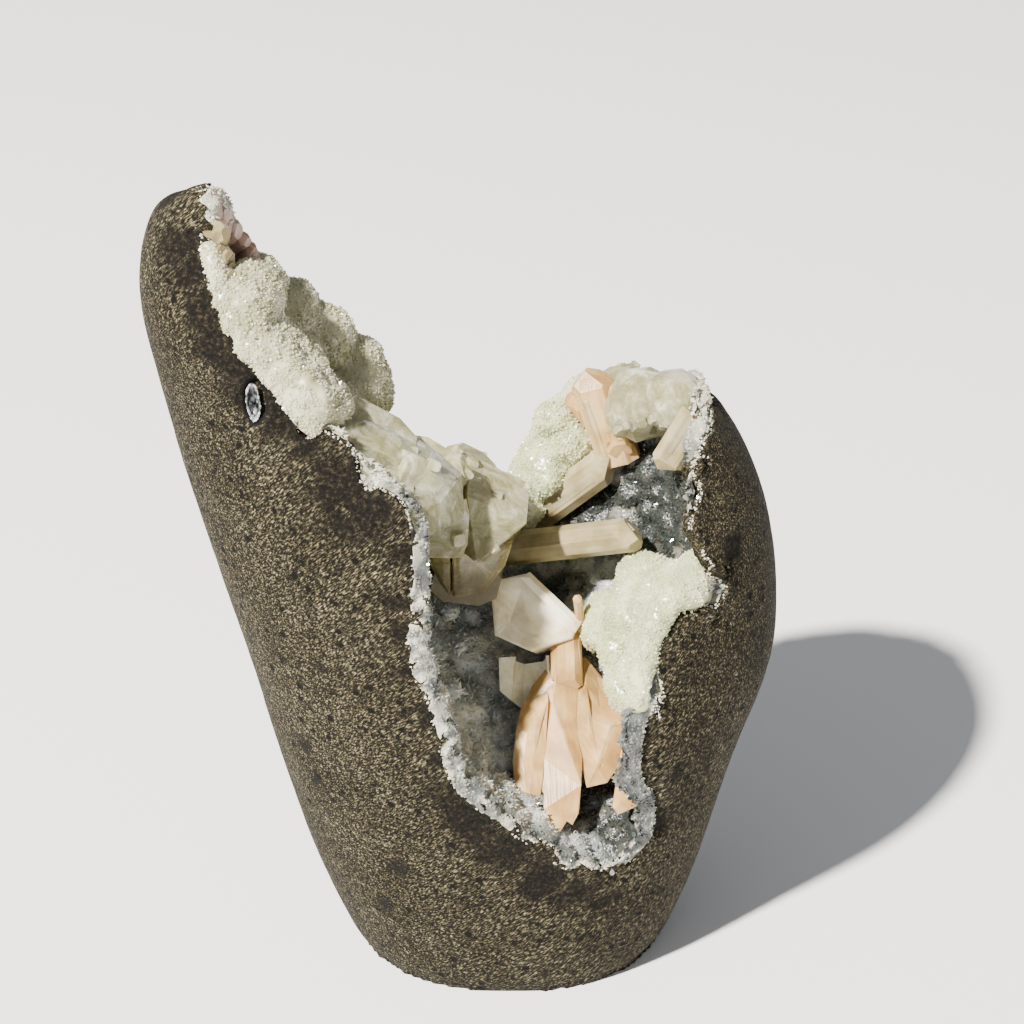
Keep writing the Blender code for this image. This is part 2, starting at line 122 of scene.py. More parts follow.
camera = bpy.data.objects.new("camera", bpy.data.cameras.new("camera"))
back = Vector((0, -math.cos(CAMERA_HEIGHT_ANGLE), math.sin(CAMERA_HEIGHT_ANGLE)))
camera.location = CAMERA_TARGET + back * CAMERA_DISTANCE
camera.rotation_euler = back.to_track_quat("Z", "Y").to_euler()
camera.data.lens = CAMERA_LENS_MM
camera.data.sensor_width = CAMERA_SENSOR_MM
camera.data.clip_start = CAMERA_NEAREST
bpy.context.scene.collection.objects.link(camera)
bpy.context.scene.camera = camera
print("camera at", [round(v, 3) for v in camera.location])

# %% [markdown]
# ## Light
#
# One key light stands at the front left, high up, so the left wall shades the hollow while the
# blades and the right wall catch the light.  It is small and far away, which keeps the edges of
# its shadows fairly crisp.  A pale sky fills them softly.

# %% Light
KEY_AIM = Vector((0, 0, 0.08))
KEY_TRAVEL = Vector((0.455, 0.53, -0.715))
KEY_DISTANCE = 3.0
KEY_SIZE = 0.16
KEY_POWER = 450
SKY_STRENGTH = 0.4

key = bpy.data.objects.new("key", bpy.data.lights.new("key", "AREA"))
key.data.shape = "DISK"
key.data.size = KEY_SIZE
key.data.energy = KEY_POWER
key.data.color = linear("#fffaf2")[:3]
key.location = KEY_AIM - KEY_TRAVEL.normalized() * KEY_DISTANCE
key.rotation_euler = (-KEY_TRAVEL).to_track_quat("Z", "Y").to_euler()
bpy.context.scene.collection.objects.link(key)

sky = bpy.data.worlds.new("sky")
sky.use_nodes = True
sky.node_tree.nodes["Background"].inputs["Color"].default_value = linear("#f4f6fa")
sky.node_tree.nodes["Background"].inputs["Strength"].default_value = SKY_STRENGTH
bpy.context.scene.world = sky
print("one key light and a pale sky")

# %% [markdown]
# ## Floor
#
# The floor is one plain sheet, larger than the view, for the stone to stand on and to throw its
# shadow on.

# %% Floor
FLOOR_SIZE = 6

shape = bmesh.new()
bmesh.ops.create_grid(shape, x_segments=1, y_segments=1, size=FLOOR_SIZE / 2)
floor = bpy.data.objects.new("floor", bpy.data.meshes.new("floor"))
shape.to_mesh(floor.data)
shape.free()
bpy.context.scene.collection.objects.link(floor)
paper, tree, shader, place = new_material("white paper", {
    "Base Color": linear("#ededee"), "Roughness": 0.85, "Specular IOR Level": 0.2})
floor.data.materials.append(paper)
print("floor of", FLOOR_SIZE, "m")

# %% [markdown]
# ## Working on copies of the solids
#
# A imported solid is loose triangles, so its copy is merged first.  A voxel remesh then turns
# its long thin triangles into an even net, fine enough to carry small relief, and a few rounds
# of smoothing take the flats out of it.  Noise from the same library gives every natural
# wobble, and it has no seed to lose: the same place always gets the same value.

# %% Helpers for shapes
def solid_copy(node):
    """A node's own shape as a bmesh with its loose triangles merged."""
    shape = bmesh.new()
    shape.from_mesh(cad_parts[node].data)
    bmesh.ops.remove_doubles(shape, verts=shape.verts, dist=0.001 * MM)
    return shape


def object_from(name, shape):
    """An object from a bmesh, which is used up."""
    mesh = bpy.data.meshes.new(name)
    shape.to_mesh(mesh)
    shape.free()
    made = bpy.data.objects.new(name, mesh)
    bpy.context.scene.collection.objects.link(made)
    return made


def applied(made):
    """Turns an object's modifiers into its mesh."""
    depsgraph = bpy.context.evaluated_depsgraph_get()
    mesh = bpy.data.meshes.new_from_object(made.evaluated_get(depsgraph))
    made.modifiers.clear()
    made.data = mesh
    return made


def evenly_netted(name, shape, net_mm):
    """A bmesh of the same form with an even net of small faces."""
    made = object_from(name, shape)
    net = made.modifiers.new("net", "REMESH")
    net.mode = "VOXEL"
    net.voxel_size = net_mm * MM
    applied(made)
    fine = bmesh.new()
    fine.from_mesh(made.data)
    bpy.data.objects.remove(made)
    return fine


def wave(place, feature_mm, turn=0):
    """Smooth noise from -1 to 1, with features of a real size."""
    return noise.noise(place / (feature_mm * MM) + Vector((turn * 17.3, turn * 5.1, turn * 9.7)))


def eased(value, low, high):
    """0 below low, 1 above high, and a smooth rise between them."""
    t = min(max((value - low) / (high - low), 0), 1)
    return t * t * (3 - 2 * t)


def dress(made, material, slot, *nodes, smooth=True):
    """Finishes a piece: its material, its body and the solids that it stands for; the slot argument
    is not used.
    """
    made.data.materials.clear()
    made.data.materials.append(material)
    for face in made.data.polygons:
        face.use_smooth = smooth
    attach(made, "root")
    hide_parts(*nodes)
    print(made.name, "has", sum(len(f.vertices) - 2 for f in made.data.polygons), "triangles")


print("shape helpers are ready")

# %% [markdown]
# ## How deep a place lies in the stone
#
# The crust shows at the stone's surface as a pale rim, ground flush with the basalt.  To find
# that rim, the stone's outside is needed as a formula: a squared ellipse through the same four
# reaches at each height as the plain solid, with the horn's slanted facet cut off.

# %% The ground skin
GIRTH = np.array([
    (0, -31, 30.5, -29.5, 27), (10, -35, 34, -32, 30), (20, -38.4, 37, -34, 32),
    (33, -42, 40, -35.5, 34.5), (46, -45, 43.4, -37, 36.5), (60, -48.2, 48, -37.5, 38),
    (72, -51.2, 48.2, -37.5, 38.5), (84, -54.3, 46.6, -36.5, 38), (94, -56.8, 43.8, -34.5, 37),
    (102, -58.8, 39.5, -32.5, 35), (108, -60, 35, -30.5, 33), (113, -61, 27, -29, 31),
    (120, -62.2, 5, -27, 29), (127, -63.2, -20, -24.5, 27), (133, -63.3, -32, -22, 25),
    (139, -62.4, -38, -19, 22.5), (144.5, -60.2, -42, -15.5, 19), (150, -56, -44, -11, 14)])
GIRTH_SQUARENESS = 2.25
HORN_FACET_PLACE = Vector((-57, 0, 146.4)) * MM
HORN_FACET_NORMAL = Vector((-0.14, 0.4, 1.0)).normalized()


def depths_mm(places):
    """How far each place in an array lies below the stone's ground skin, in millimetres."""
    x, y, z = (np.asarray(places) / MM).T
    left, right, front, rear = (np.interp(z, GIRTH[:, 0], GIRTH[:, k]) for k in range(1, 5))
    middle = (left + right) / 2
    across = np.abs(x - middle) / ((right - left) / 2)
    deep = np.abs(y) / np.where(y > 0, rear, -front)
    share = (across ** GIRTH_SQUARENESS + deep ** GIRTH_SQUARENESS) ** (1 / GIRTH_SQUARENESS)
    reach = np.hypot(x - middle, y) / np.maximum(share, 0.01)
    under_facet = (np.array(HORN_FACET_PLACE) - places) @ np.array(HORN_FACET_NORMAL) / MM
    return np.minimum(np.minimum((1 - share) * reach, under_facet), z)


def outward(places):
    """The direction straight out of the ground skin at each place of an array."""
    places, step = np.asarray(places), 0.2 * MM
    slopes = np.stack([depths_mm(places - step * axis) - depths_mm(places + step * axis)
                       for axis in np.eye(3)], axis=1)
    return slopes / np.maximum(np.linalg.norm(slopes, axis=1), 1e-9)[:, None]


def corners_of(shape):
    """The places of a bmesh's corners as an array."""
    return np.array([v.co for v in shape.verts])


crust_tree = BVHTree.FromBMesh(solid_copy("chalcedony_crust"))
print("the middle of the stone is", depths_mm([(0, 0, 0.05)]).round(), "mm deep")

# %% [markdown]
# ## The basalt
#
# The rock was shaped on a coarse wheel and never polished, so it is dull and finely scratched.
# Along the rim of the hollow the skin is darker and a little lower.  On the horn this is the old
# weathered skin that the wheel did not reach, and along the left and lower rim of the hollow the
# darkness is painted shade.  Small dark spots are painted shade too, standing for small pits, and
# so is the dark inside of the small bubble on the horn.  The darker skin and the spots are listed
# as round marks, and the skin's marks overlap where they follow the rim.

# %% Measures of the basalt
STONE_NET = 1.0
STONE_ROUNDS = 45
RIM_REACH = 3.6
RIM_SHUT = 0.9
RIM_WOBBLE = 2.3
RIM_BAND = 2.4
SKIN_DEEP = 1.2
# Where the rock closes up to the crystals and leaves hardly any crust: place and radius in mm.
RIM_TIGHT = [((-29, -28, 112), 6), ((-23, -30, 107), 6), ((-18, -32, 100), 6),
             ((-16.5, -34, 91), 5)]
# Tongues of rock that reach over the crust, below, right and left: their outlines in mm.
TONGUE = [(24, -33.8, 62), (25.9, -32.8, 67.7), (24.4, -33, 74.6), (26.8, -31, 81.4),
          (28.5, -29.9, 82.6), (36.8, -24.5, 80.4), (40, -21, 78), (36.5, -26, 71), (30, -31, 62)]
RIGHT_TONGUE = [(34.1, -2.4, 108.5), (34.7, -12.4, 104.8), (32.7, -15.4, 105), (29.8, -18.8, 105),
                (31.2, -19.5, 102.7), (32.6, -19.7, 100.5), (31.2, -22.4, 98.3), (30, -24.6, 95.9),
                (32, -24.8, 92.5), (34, -24.9, 87.7), (36.9, -23.8, 83.9), (44, -14, 84),
                (45, -8, 98), (41, -4, 108)]
LEFT_TONGUE = [(-31.7, -27.7, 115.5), (-29.2, -28.1, 114.4), (-25.7, -28.8, 112.3),
               (-24.5, -30.6, 105.3), (-22.3, -30.5, 106.5), (-18.4, -31.4, 104.7),
               (-17.2, -32.1, 102.7), (-16.4, -33.4, 97.4), (-20.2, -33.2, 96.4),
               (-27.5, -30.7, 103.2), (-32.8, -27.8, 111.9)]
TONGUE_DEEP = 4
TONGUE_PLACE = [((29, -29.5, 74), 8), ((34, -18, 95), 9), ((34, -10, 105), 7), ((36, -4, 108), 5),
                ((37.5, -23.5, 82), 5), ((-31.6, -27.8, 113.4), 5), ((-26, -29.5, 109), 6),
                ((-20, -31.5, 102), 6)]
# The small bubble on the horn: its middle and its reach each way, in mm.
BUBBLE = Vector((-42.4, -26.0, 119.0))
BUBBLE_REACH = Vector((1.9, 3.6, 4.4))
# Places of the darker skin on the front, with their radii, in mm: weathered skin on the horn, and
# painted shade along the left and lower rim of the hollow.
RIND_AND_RIM_SHADE = [
    ((-57.6, -5, 148), 4), ((-55.5, -15, 143), 3.6), ((-52.8, -19, 138), 3.2),
    ((-50.5, -21.4, 133), 3.2), ((-48.2, -23.4, 128.7), 3.6), ((-44.2, -24.7, 124.9), 4.2),
    ((-40.4, -25.6, 120.6), 5), ((-37.6, -26.5, 115.8), 4.8), ((-33.7, -27.4, 112.4), 3.4),
    ((-28.3, -28.4, 106.7), 5.4), ((-26.8, -29.4, 101.6), 5), ((-22, -31, 101), 3.6),
    ((-19.2, -33.7, 94.6), 2.4), ((-18.8, -34.8, 87.6), 2.2), ((-18.4, -35.7, 80.3), 2.2),
    ((-17.4, -36.1, 72.8), 2.2), ((-15, -36.4, 64.9), 2.4), ((-12.6, -36, 56.4), 2.6),
    ((-10.2, -36.7, 49), 3.6), ((-7.3, -36.4, 43.3), 4.4), ((-2.1, -36, 36.8), 4.6),
    ((5, -34.8, 29.8), 4.4), ((11.3, -33.4, 25.2), 3.2), ((16.7, -31.4, 22.6), 2.6),
    ((31, -27, 60), 2.6), ((28, -28, 50), 2.4), ((27, -29, 38), 2.4), ((38, -20, 90), 2.6),
]
# Painted shade of small pits: dark round spots, with centre and radius in mm.
HOLE_SHADE_SPOTS = [
    ((-19.9, -32.1, 30.9), 2.4), ((-36.5, -25.1, 52.4), 2.0), ((-23, -28.9, 20.3), 1.7),
    ((-32.7, -30.7, 71.8), 1.5), ((-35, -25.1, 45), 1.3), ((-46, -17.8, 69.6), 1.2),
    ((36, -20, 30), 1.6), ((-50, 12, 84), 1.9), ((20, 33, 40), 2.2), ((-12, 36, 62), 2.0),
    ((-30, 30, 24), 1.8), ((41, 14, 58), 1.6), ((-4, 33, 20), 1.5),
]
print(len(RIND_AND_RIM_SHADE), "marks of weathered skin and", len(HOLE_SHADE_SPOTS), "clay spots")

# %% [markdown]
# A round mark has a soft edge, so its value runs from 0 to 1.  Where rock reaches over the
# crust as a tongue, its outline is known on the ground skin alone, so a slab is built from the
# outline downwards.

# %% Helpers for marks and tongues
def marked(place, marks, edge):
    """How much a place lies within any of some round marks."""
    return max(1 - eased((place / MM - Vector(centre)).length / radius, 1 - edge, 1 + edge)
               for centre, radius in marks)


def moved(shape, amounts):
    """Moves each corner by its vector."""
    for vert, amount in zip(shape.verts, amounts):
        vert.co += amount


def evened(shape, verts, rounds):
    """Smooths some corners many times over."""
    for _ in range(rounds):
        bmesh.ops.smooth_vert(shape, verts=verts, factor=0.5, use_axis_x=True, use_axis_y=True,
                              use_axis_z=True)
    shape.normal_update()


def off_bubble(place):
    """How far a place is from the small bubble's middle, where 1 is the bubble's own wall."""
    away = place / MM - BUBBLE
    return Vector([away[k] / BUBBLE_REACH[k] for k in range(3)]).length


def slab(shape, outline, deep_mm):
    """Adds a slab with an outline on the ground skin, in mm, and a depth below it."""
    places = np.array(outline) * MM
    ways = outward(places)
    places += ways * depths_mm(places)[:, None] * MM
    upper = [shape.verts.new(p) for p in places + ways * 0.1 * MM]
    lower = [shape.verts.new(p) for p in places - ways * deep_mm * MM]
    made = [shape.faces.new(upper), shape.faces.new(lower[::-1])]
    for i, vert in enumerate(upper):
        made.append(shape.faces.new((vert, upper[i - 1], lower[i - 1], lower[i])))
    bmesh.ops.triangulate(shape, faces=made)


print("mark helpers are ready")

# %% [markdown]
# The tongues join the solid before the remesh, which melts them into it.  The net is then made
# finer along the rim alone, where the wall's edge needs it, and the ground skin is smoothed many
# times over, as a wheel leaves it.

# %% Even net of the basalt
solid_rock = solid_copy("basalt_matrix")
for outline in (TONGUE, RIGHT_TONGUE, LEFT_TONGUE):
    slab(solid_rock, outline, TONGUE_DEEP)
stone = evenly_netted("stone", solid_rock, STONE_NET)
depths = depths_mm(corners_of(stone))
at_rim = {v for v, deep in zip(stone.verts, depths)
          if deep < RIM_BAND and crust_tree.find_nearest(v.co)[3] < RIM_BAND * MM
          or off_bubble(v.co) < 1.5}
bmesh.ops.subdivide_edges(stone, edges=[e for e in stone.edges if at_rim.issuperset(e.verts)],
                          cuts=1, use_grid_fill=True)
rind_and_shade_layer = stone.verts.layers.float.new("rind_and_shade")
hole_shade_layer = stone.verts.layers.float.new("hole_shade")
depths = depths_mm(corners_of(stone))
to_crust = [crust_tree.find_nearest(v.co) for v in stone.verts]
underside = [v for v in stone.verts if v.co.z < 0.5 * MM]
evened(stone, [v for v, deep, near in zip(stone.verts, depths, to_crust)
               if deep < SKIN_DEEP and near[3] > 2.0 * MM and off_bubble(v.co) > 1.6],
       STONE_ROUNDS)
for vert in underside:
    vert.co.z = 0
print("the rim has", len(at_rim), "points of the first net")

# %% [markdown]
# The wall of the hollow moves out to meet the crust by a wobbling distance, so that the pale rim
# between them is uneven, as it is on a broken bubble in lava.  The weathered skin sinks a
# little, and all of the ground skin gets a shallow waviness that bends its shine.

# %% Relief of the basalt
skin_ways = outward(corners_of(stone))
amounts = []
for vert, deep, near, skin_way in zip(stone.verts, depths, to_crust, skin_ways):
    (nearest, _, _, distance), place, amount = near, vert.co.copy(), Vector()
    if distance < RIM_REACH * MM:
        wobble = 0.75 + 0.9 * wave(place, 4.5) + 0.8 * wave(place, 1.8)
        wobble = max(wobble, 1.1 * marked(place, RIM_TIGHT, 0.3))
        shut = RIM_SHUT + RIM_WOBBLE * min(max(wobble, 0), 1) * (1 - eased(deep, 0.9, 2.2))
        shut *= 1 - eased(distance / MM, 0.5, RIM_REACH)
        shut *= 1 - marked(place, TONGUE_PLACE, 0.2)
        amount = (nearest - place).normalized() * shut * MM
        if deep < 1.0 and place.z > 3 * MM:
            amount += Vector(skin_way) * max(deep, 0) * (1 - eased(distance / MM, 1, 2.4)) * MM
    if deep < SKIN_DEEP and place.z > 1 * MM:
        stray = Vector((wave(place, 4, 1), 0, wave(place, 4, 2))) * 2.6 * MM
        # Darker skin: weathered rock on the horn, painted shade along the hollow's rim.
        rind_and_shade = marked(place + stray, RIND_AND_RIM_SHADE, 0.4)
        vert[rind_and_shade_layer] = rind_and_shade
        # Painted shade: dark over small pits, and darkest inside the small bubble on the horn.
        vert[hole_shade_layer] = max(marked(place, HOLE_SHADE_SPOTS, 0.35),
                               2 * (1 - eased(off_bubble(place), 0.9, 1.15)))
        relief = 0.10 * wave(place, 9) + 0.05 * wave(place, 2.5)
        relief -= rind_and_shade * (0.22 + 0.22 * wave(place, 2.6, 3))
        amount += vert.normal * relief * MM
    amounts.append(amount)
moved(stone, amounts)
evened(stone, [v for v in stone.verts if marked(v.co, TONGUE_PLACE, 0.2) > 0.3], 2)
rock_tree = BVHTree.FromBMesh(stone)
basalt = object_from("basalt_stone", stone)
print("basalt net of", len(basalt.data.vertices), "points")

# %% [markdown]
# Basalt is a fine dark lava.  Ground but not polished, it scatters light without any gloss: the
# wheel leaves short scratches that all run one way, lighter than the rock because their edges
# are crushed, and between them lie tan grains of feldspar and small black pits.  The noise for
# the scratches is turned and stretched to run up to the right.

# %% Material of the basalt
# Widths in mm.  Real scratches are finer, and these are as wide as they need to be to show.
SCRATCH_WIDTH = 0.24
SCRATCH_STRETCH = 4.0
SCRATCH_LEAN = math.radians(48)
MOTTLE_WIDTH = 0.7
BLOTCH_WIDTH = 11
PIT_APART = 2.6

ground_basalt, tree, shader, place = new_material("ground basalt", {
    "Roughness": 0.9, "IOR": 1.55, "Specular IOR Level": 0.12})
lean = add_node(tree, "ShaderNodeMapping", {
    "Rotation": (0, SCRATCH_LEAN, 0), "Scale": (1, 1, SCRATCH_STRETCH)}, {"Vector": place},
    vector_type="TEXTURE").outputs["Vector"]
scratches = add_node(tree, "ShaderNodeTexNoise", {
    "Scale": per_metre(SCRATCH_WIDTH), "Detail": 2.0, "Roughness": 0.6}, {"Vector": lean}
).outputs["Fac"]
mottle = add_node(tree, "ShaderNodeTexNoise", {
    "Scale": per_metre(MOTTLE_WIDTH), "Detail": 4.0, "Roughness": 0.7}, {"Vector": place}
).outputs["Fac"]
blotch = add_node(tree, "ShaderNodeTexNoise", {
    "Scale": per_metre(BLOTCH_WIDTH), "Detail": 2.0}, {"Vector": place}).outputs["Fac"]
blend = add_node(tree, "ShaderNodeMix", {"Factor": 0.36}, {2: scratches, 3: mottle}).outputs[0]
grain = add_node(tree, "ShaderNodeValToRGB", links={"Fac": blend}, stops=[
    (0.36, "#040302"), (0.46, "#13110b"), (0.52, "#2b271c"), (0.58, "#554f3c"), (0.69, "#a89f7f")]
).outputs["Color"]
cloud = add_node(tree, "ShaderNodeValToRGB", links={"Fac": blotch}, stops=[
    (0.35, "#b9b4ac"), (0.65, "#ffffff")]).outputs["Color"]
tone = add_node(tree, "ShaderNodeMix", {"Factor": 0.7}, {6: grain, 7: cloud}, data_type="RGBA",
                blend_type="MULTIPLY").outputs[2]
pit_cells = add_node(tree, "ShaderNodeTexVoronoi", {"Scale": per_metre(PIT_APART)},
                     {"Vector": place})
pit_size = add_node(tree, "ShaderNodeSeparateColor", links={"Color": pit_cells.outputs["Color"]})
pit_edge = add_node(tree, "ShaderNodeMath", {1: 0.24}, {0: pit_size.outputs["Red"]},
                    operation="MULTIPLY").outputs[0]
pits = add_node(tree, "ShaderNodeMath", {2: 0.09}, {
    0: pit_cells.outputs["Distance"], 1: pit_edge}, operation="SUBTRACT").outputs[0]
pit_mask = add_node(tree, "ShaderNodeMapRange", {"From Min": -0.02, "From Max": 0.1,
                                                 "To Min": 1.0, "To Max": 0.0}, {"Value": pits}
                    ).outputs["Result"]
pitted = add_node(tree, "ShaderNodeMix", {7: linear("#070604")}, {0: pit_mask, 6: tone},
                  data_type="RGBA").outputs[2]
# The darker skin tone: weathered rock on the horn, painted shade along the hollow's rim.
rind_and_shade_value = add_node(tree, "ShaderNodeAttribute", attribute_name="rind_and_shade").outputs["Fac"]
rind_and_shade_tone = add_node(tree, "ShaderNodeValToRGB", links={"Fac": mottle}, stops=[
    (0.38, "#050403"), (0.55, "#14110c"), (0.7, "#373122")]).outputs["Color"]
rind_and_shade_mixed = add_node(tree, "ShaderNodeMix", links={0: rind_and_shade_value, 6: pitted, 7: rind_and_shade_tone},
                  data_type="RGBA").outputs[2]
# Painted shade of the pits and of the small bubble's inside, nearly black.
hole_shade_value = add_node(tree, "ShaderNodeAttribute", attribute_name="hole_shade").outputs["Fac"]
hole_shade_part = add_node(tree, "ShaderNodeMath", {1: 0.75}, {0: hole_shade_value}, operation="MULTIPLY"
                     ).outputs[0]
hole_shaded = add_node(tree, "ShaderNodeMix", {7: linear("#0d0c0b")}, {0: hole_shade_part, 6: rind_and_shade_mixed},
                  data_type="RGBA").outputs[2]
tree.links.new(hole_shaded, shader.inputs["Base Color"])
height = add_node(tree, "ShaderNodeMath", links={0: blend, 1: pit_mask},
                  operation="SUBTRACT").outputs[0]
bump = add_node(tree, "ShaderNodeBump", {"Strength": 0.8, "Distance": 0.25 * MM},
                {"Height": height}).outputs["Normal"]
tree.links.new(bump, shader.inputs["Normal"])
dress(basalt, ground_basalt, "basalt", "basalt_matrix")

# %% [markdown]
# ## Sowing small crystals
#
# A druse is thousands of nearly equal crystals side by side.  Each is made once as a small
# closed form of a few faces, and one mesh then joins a turned and stretched copy for every
# place.  The places are random but kept a set distance apart, so that they neither clump nor
# line up, and the seed is fixed.

# %% Forms of the small crystals
def form_arrays(shape):
    """A small closed bmesh as arrays of corners and outward triangles, and it is used up."""
    bmesh.ops.recalc_face_normals(shape, faces=shape.faces)
    bmesh.ops.triangulate(shape, faces=shape.faces)
    corners = np.array([v.co for v in shape.verts])
    triangles = np.array([[v.index for v in f.verts] for f in shape.faces])
    shape.free()
    return corners, triangles


def point_form(sides):
    """A low pyramid, as the tip of a crystal stands out of a crust."""
    shape = bmesh.new()
    bmesh.ops.create_cone(shape, cap_ends=True, segments=sides, radius1=0.5, radius2=0, depth=1)
    return form_arrays(shape)


def nugget_form():
    """A blocky eight-faced grain."""
    shape = bmesh.new()
    bmesh.ops.create_uvsphere(shape, u_segments=4, v_segments=2, radius=0.5)
    return form_arrays(shape)


def block_form(cut):
    """A square block with its corners cut off, as apophyllite grows."""
    shape = bmesh.new()
    bmesh.ops.create_cube(shape, size=1)
    bmesh.ops.bevel(shape, geom=shape.verts[:] + shape.edges[:], offset=cut, offset_type="OFFSET",
                    affect="VERTICES", segments=1, profile=0.5, material=-1)
    return form_arrays(shape)


QUARTZ_POINT = point_form(6)
NUGGET = nugget_form()
SMALL_BLOCK = block_form(0.22)
triangle_counts = [len(form[1]) for form in (QUARTZ_POINT, NUGGET, SMALL_BLOCK)]
print("triangles in a point, a nugget and a block:", triangle_counts)

# %% [markdown]
# Places are drawn over the triangles in proportion to their areas, more of them than are
# wanted, and one that comes too near an earlier one is dropped.  The copies' corners are worked
# out as arrays, all at once, because a loop over thousands of crystals would be slow.  A search
# tree of each solid tells whether a place is inside it.

# %% Helpers for sowing
OVERSOWN = 2.5


def places_on(mesh, apart_mm, seed, wanted):
    """Random places on a mesh, a set distance apart, with their normals, where wanted says so."""
    rng = np.random.default_rng(seed)
    mesh.calc_loop_triangles()
    points = np.empty(len(mesh.vertices) * 3)
    mesh.vertices.foreach_get("co", points)
    chains = np.empty(len(mesh.loop_triangles) * 3, int)
    mesh.loop_triangles.foreach_get("vertices", chains)
    corners = points.reshape(-1, 3)[chains.reshape(-1, 3)]
    cross = np.cross(corners[:, 1] - corners[:, 0], corners[:, 2] - corners[:, 0])
    areas = np.linalg.norm(cross, axis=1) / 2
    count = int(areas.sum() / (apart_mm * MM) ** 2 * OVERSOWN)
    chosen = rng.choice(len(areas), size=count, p=areas / areas.sum())
    u, v = rng.random(count), rng.random(count)
    u, v = np.where(u + v > 1, 1 - u, u), np.where(u + v > 1, 1 - v, v)
    spots = (corners[chosen, 0] * (1 - u - v)[:, None] + corners[chosen, 1] * u[:, None]
             + corners[chosen, 2] * v[:, None])
    normals = cross[chosen] / (2 * areas[chosen])[:, None]
    fit = wanted(spots)
    spots, normals = spots[fit], normals[fit]
    taken, kept = {}, []
    cell = apart_mm * MM
    homes = (spots // cell).astype(int).tolist()
    around = [(a, b, c) for a in (-1, 0, 1) for b in (-1, 0, 1) for c in (-1, 0, 1)]
    for i, ((x, y, z), (hx, hy, hz)) in enumerate(zip(spots.tolist(), homes)):
        if all((x - p) ** 2 + (y - q) ** 2 + (z - r) ** 2 > cell ** 2 for a, b, c in around
               for p, q, r in taken.get((hx + a, hy + b, hz + c), ())):
            taken.setdefault((hx, hy, hz), []).append((x, y, z))
            kept.append(i)
    return spots[kept], normals[kept]


def sown(name, form, spots, normals, size_mm, tall, lean, sink, seed):
    """One mesh with a small crystal at each spot, standing about along its normal."""
    rng = np.random.default_rng(seed)
    corners, triangles = form
    count = len(spots)
    stand = normals + lean * rng.normal(size=(count, 3))
    stand /= np.linalg.norm(stand, axis=1)[:, None]
    side = np.cross(stand, rng.normal(size=(count, 3)))
    side /= np.linalg.norm(side, axis=1)[:, None]
    other = np.cross(stand, side)
    wide = rng.uniform(*size_mm, size=count)[:, None, None] * MM
    high = wide * rng.uniform(*tall, size=count)[:, None, None]
    cloud = (corners[None, :, :1] * wide * side[:, None]
             + corners[None, :, 1:2] * wide * other[:, None]
             + corners[None, :, 2:] * high * stand[:, None]
             + (spots + normals * wide[:, 0] * sink)[:, None])
    faces = triangles[None] + (np.arange(count) * len(corners))[:, None, None]
    mesh = bpy.data.meshes.new(name)
    mesh.from_pydata(cloud.reshape(-1, 3).tolist(), [], faces.reshape(-1, 3).tolist())
    made = bpy.data.objects.new(name, mesh)
    bpy.context.scene.collection.objects.link(made)
    return made


def crystal_trees(*nodes):
    """Search trees of some solids, to ask whether a place is inside or near them."""
    return [BVHTree.FromBMesh(solid_copy(node)) for node in nodes]


def buried(place, trees, skin_mm=0.2):
    """Whether a place is inside one of the solids, by more than a thin skin."""
    for tree in trees:
        nearest, normal, _, distance = tree.find_nearest(place, 4 * MM)
        if nearest and (place - nearest).dot(normal) < 0 and distance > skin_mm * MM:
            return True
    return False


minerals = [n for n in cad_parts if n.split("_")[0] in ("apophyllite", "stilbite", "prehnite")]
mineral_trees = crystal_trees(*minerals)
bare_tree, = crystal_trees("basalt_matrix")
print("crystal groups:", ", ".join(sorted(minerals)))

# %% [markdown]
# ## The chalcedony crust
#
# Silica-rich water coated the bubble's wall with blue-grey chalcedony.  It grew as round buds a
# few millimetres wide that crowd each other, and its last layer is a carpet of tiny quartz
# points.  So the crust has three steps: the even layer from the solid, the buds swelled out of
# it, and thousands of points sown on them.  Where it meets the ground skin it slopes down into
# the hollow, and it is milky and nearly white along the rock.

# %% Measures of the crust
CRUST_NET = 0.72
CRUST_ROUNDS = 10
BUD_APART = 2.3
BUD_SIZE = (1.2, 2.7)
BUD_HEIGHT = 0.62
BAND_SUNK = 0.3
BAND_SLOPE = 1.0
# Knobs and flakes of druse that stand out of the left wall: place and radius in mm.
KNOBS = [((-6.8, -2, 58.4), 2.6), ((-6.1, -14, 52.1), 2.2), ((-12.7, -26, 53), 2.0),
         ((-9.1, -12, 53.4), 2.8), ((-7.4, -26, 47.7), 1.8), ((-11.2, -4, 67.6), 2.6),
         ((-10.5, -19, 60), 2.4), ((-2.6, -27, 43), 1.8), ((-9.6, -8, 62.6), 2.2)]
# Where the lining is darkest, as place and radius in mm.  The first mark is thick dark lining over
# the right of the hollow, and the others are painted shadow behind the rod, under the blade and
# beside the sheaf.
DUSKY_AND_SHADE = [((28, 0, 88), 17), ((14, 6, 80), 9), ((20, -24, 38), 11), ((4, 4, 66), 7)]

bud_rng = np.random.default_rng(5)
bud_spots, _ = places_on(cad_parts["chalcedony_crust"].data, BUD_APART, 6,
                         lambda spots: depths_mm(spots) > 1.4)
bud_sizes = bud_rng.uniform(*BUD_SIZE, size=len(bud_spots)) * MM
bud_tones = bud_rng.random(len(bud_spots))
buds = KDTree(len(bud_spots))
for i, spot in enumerate(bud_spots):
    buds.insert(spot, i)
buds.balance()
print(len(bud_spots), "buds on the crust")

# %% [markdown]
# How white and how dark the lining is follows from where a place lies: by the rock, up on the horn,
# on a pale flake, in thick dark lining, or where shade is painted, in the band behind the rim and
# behind some crystals.  Each is a small formula with some noise in it, and the larger value wins.

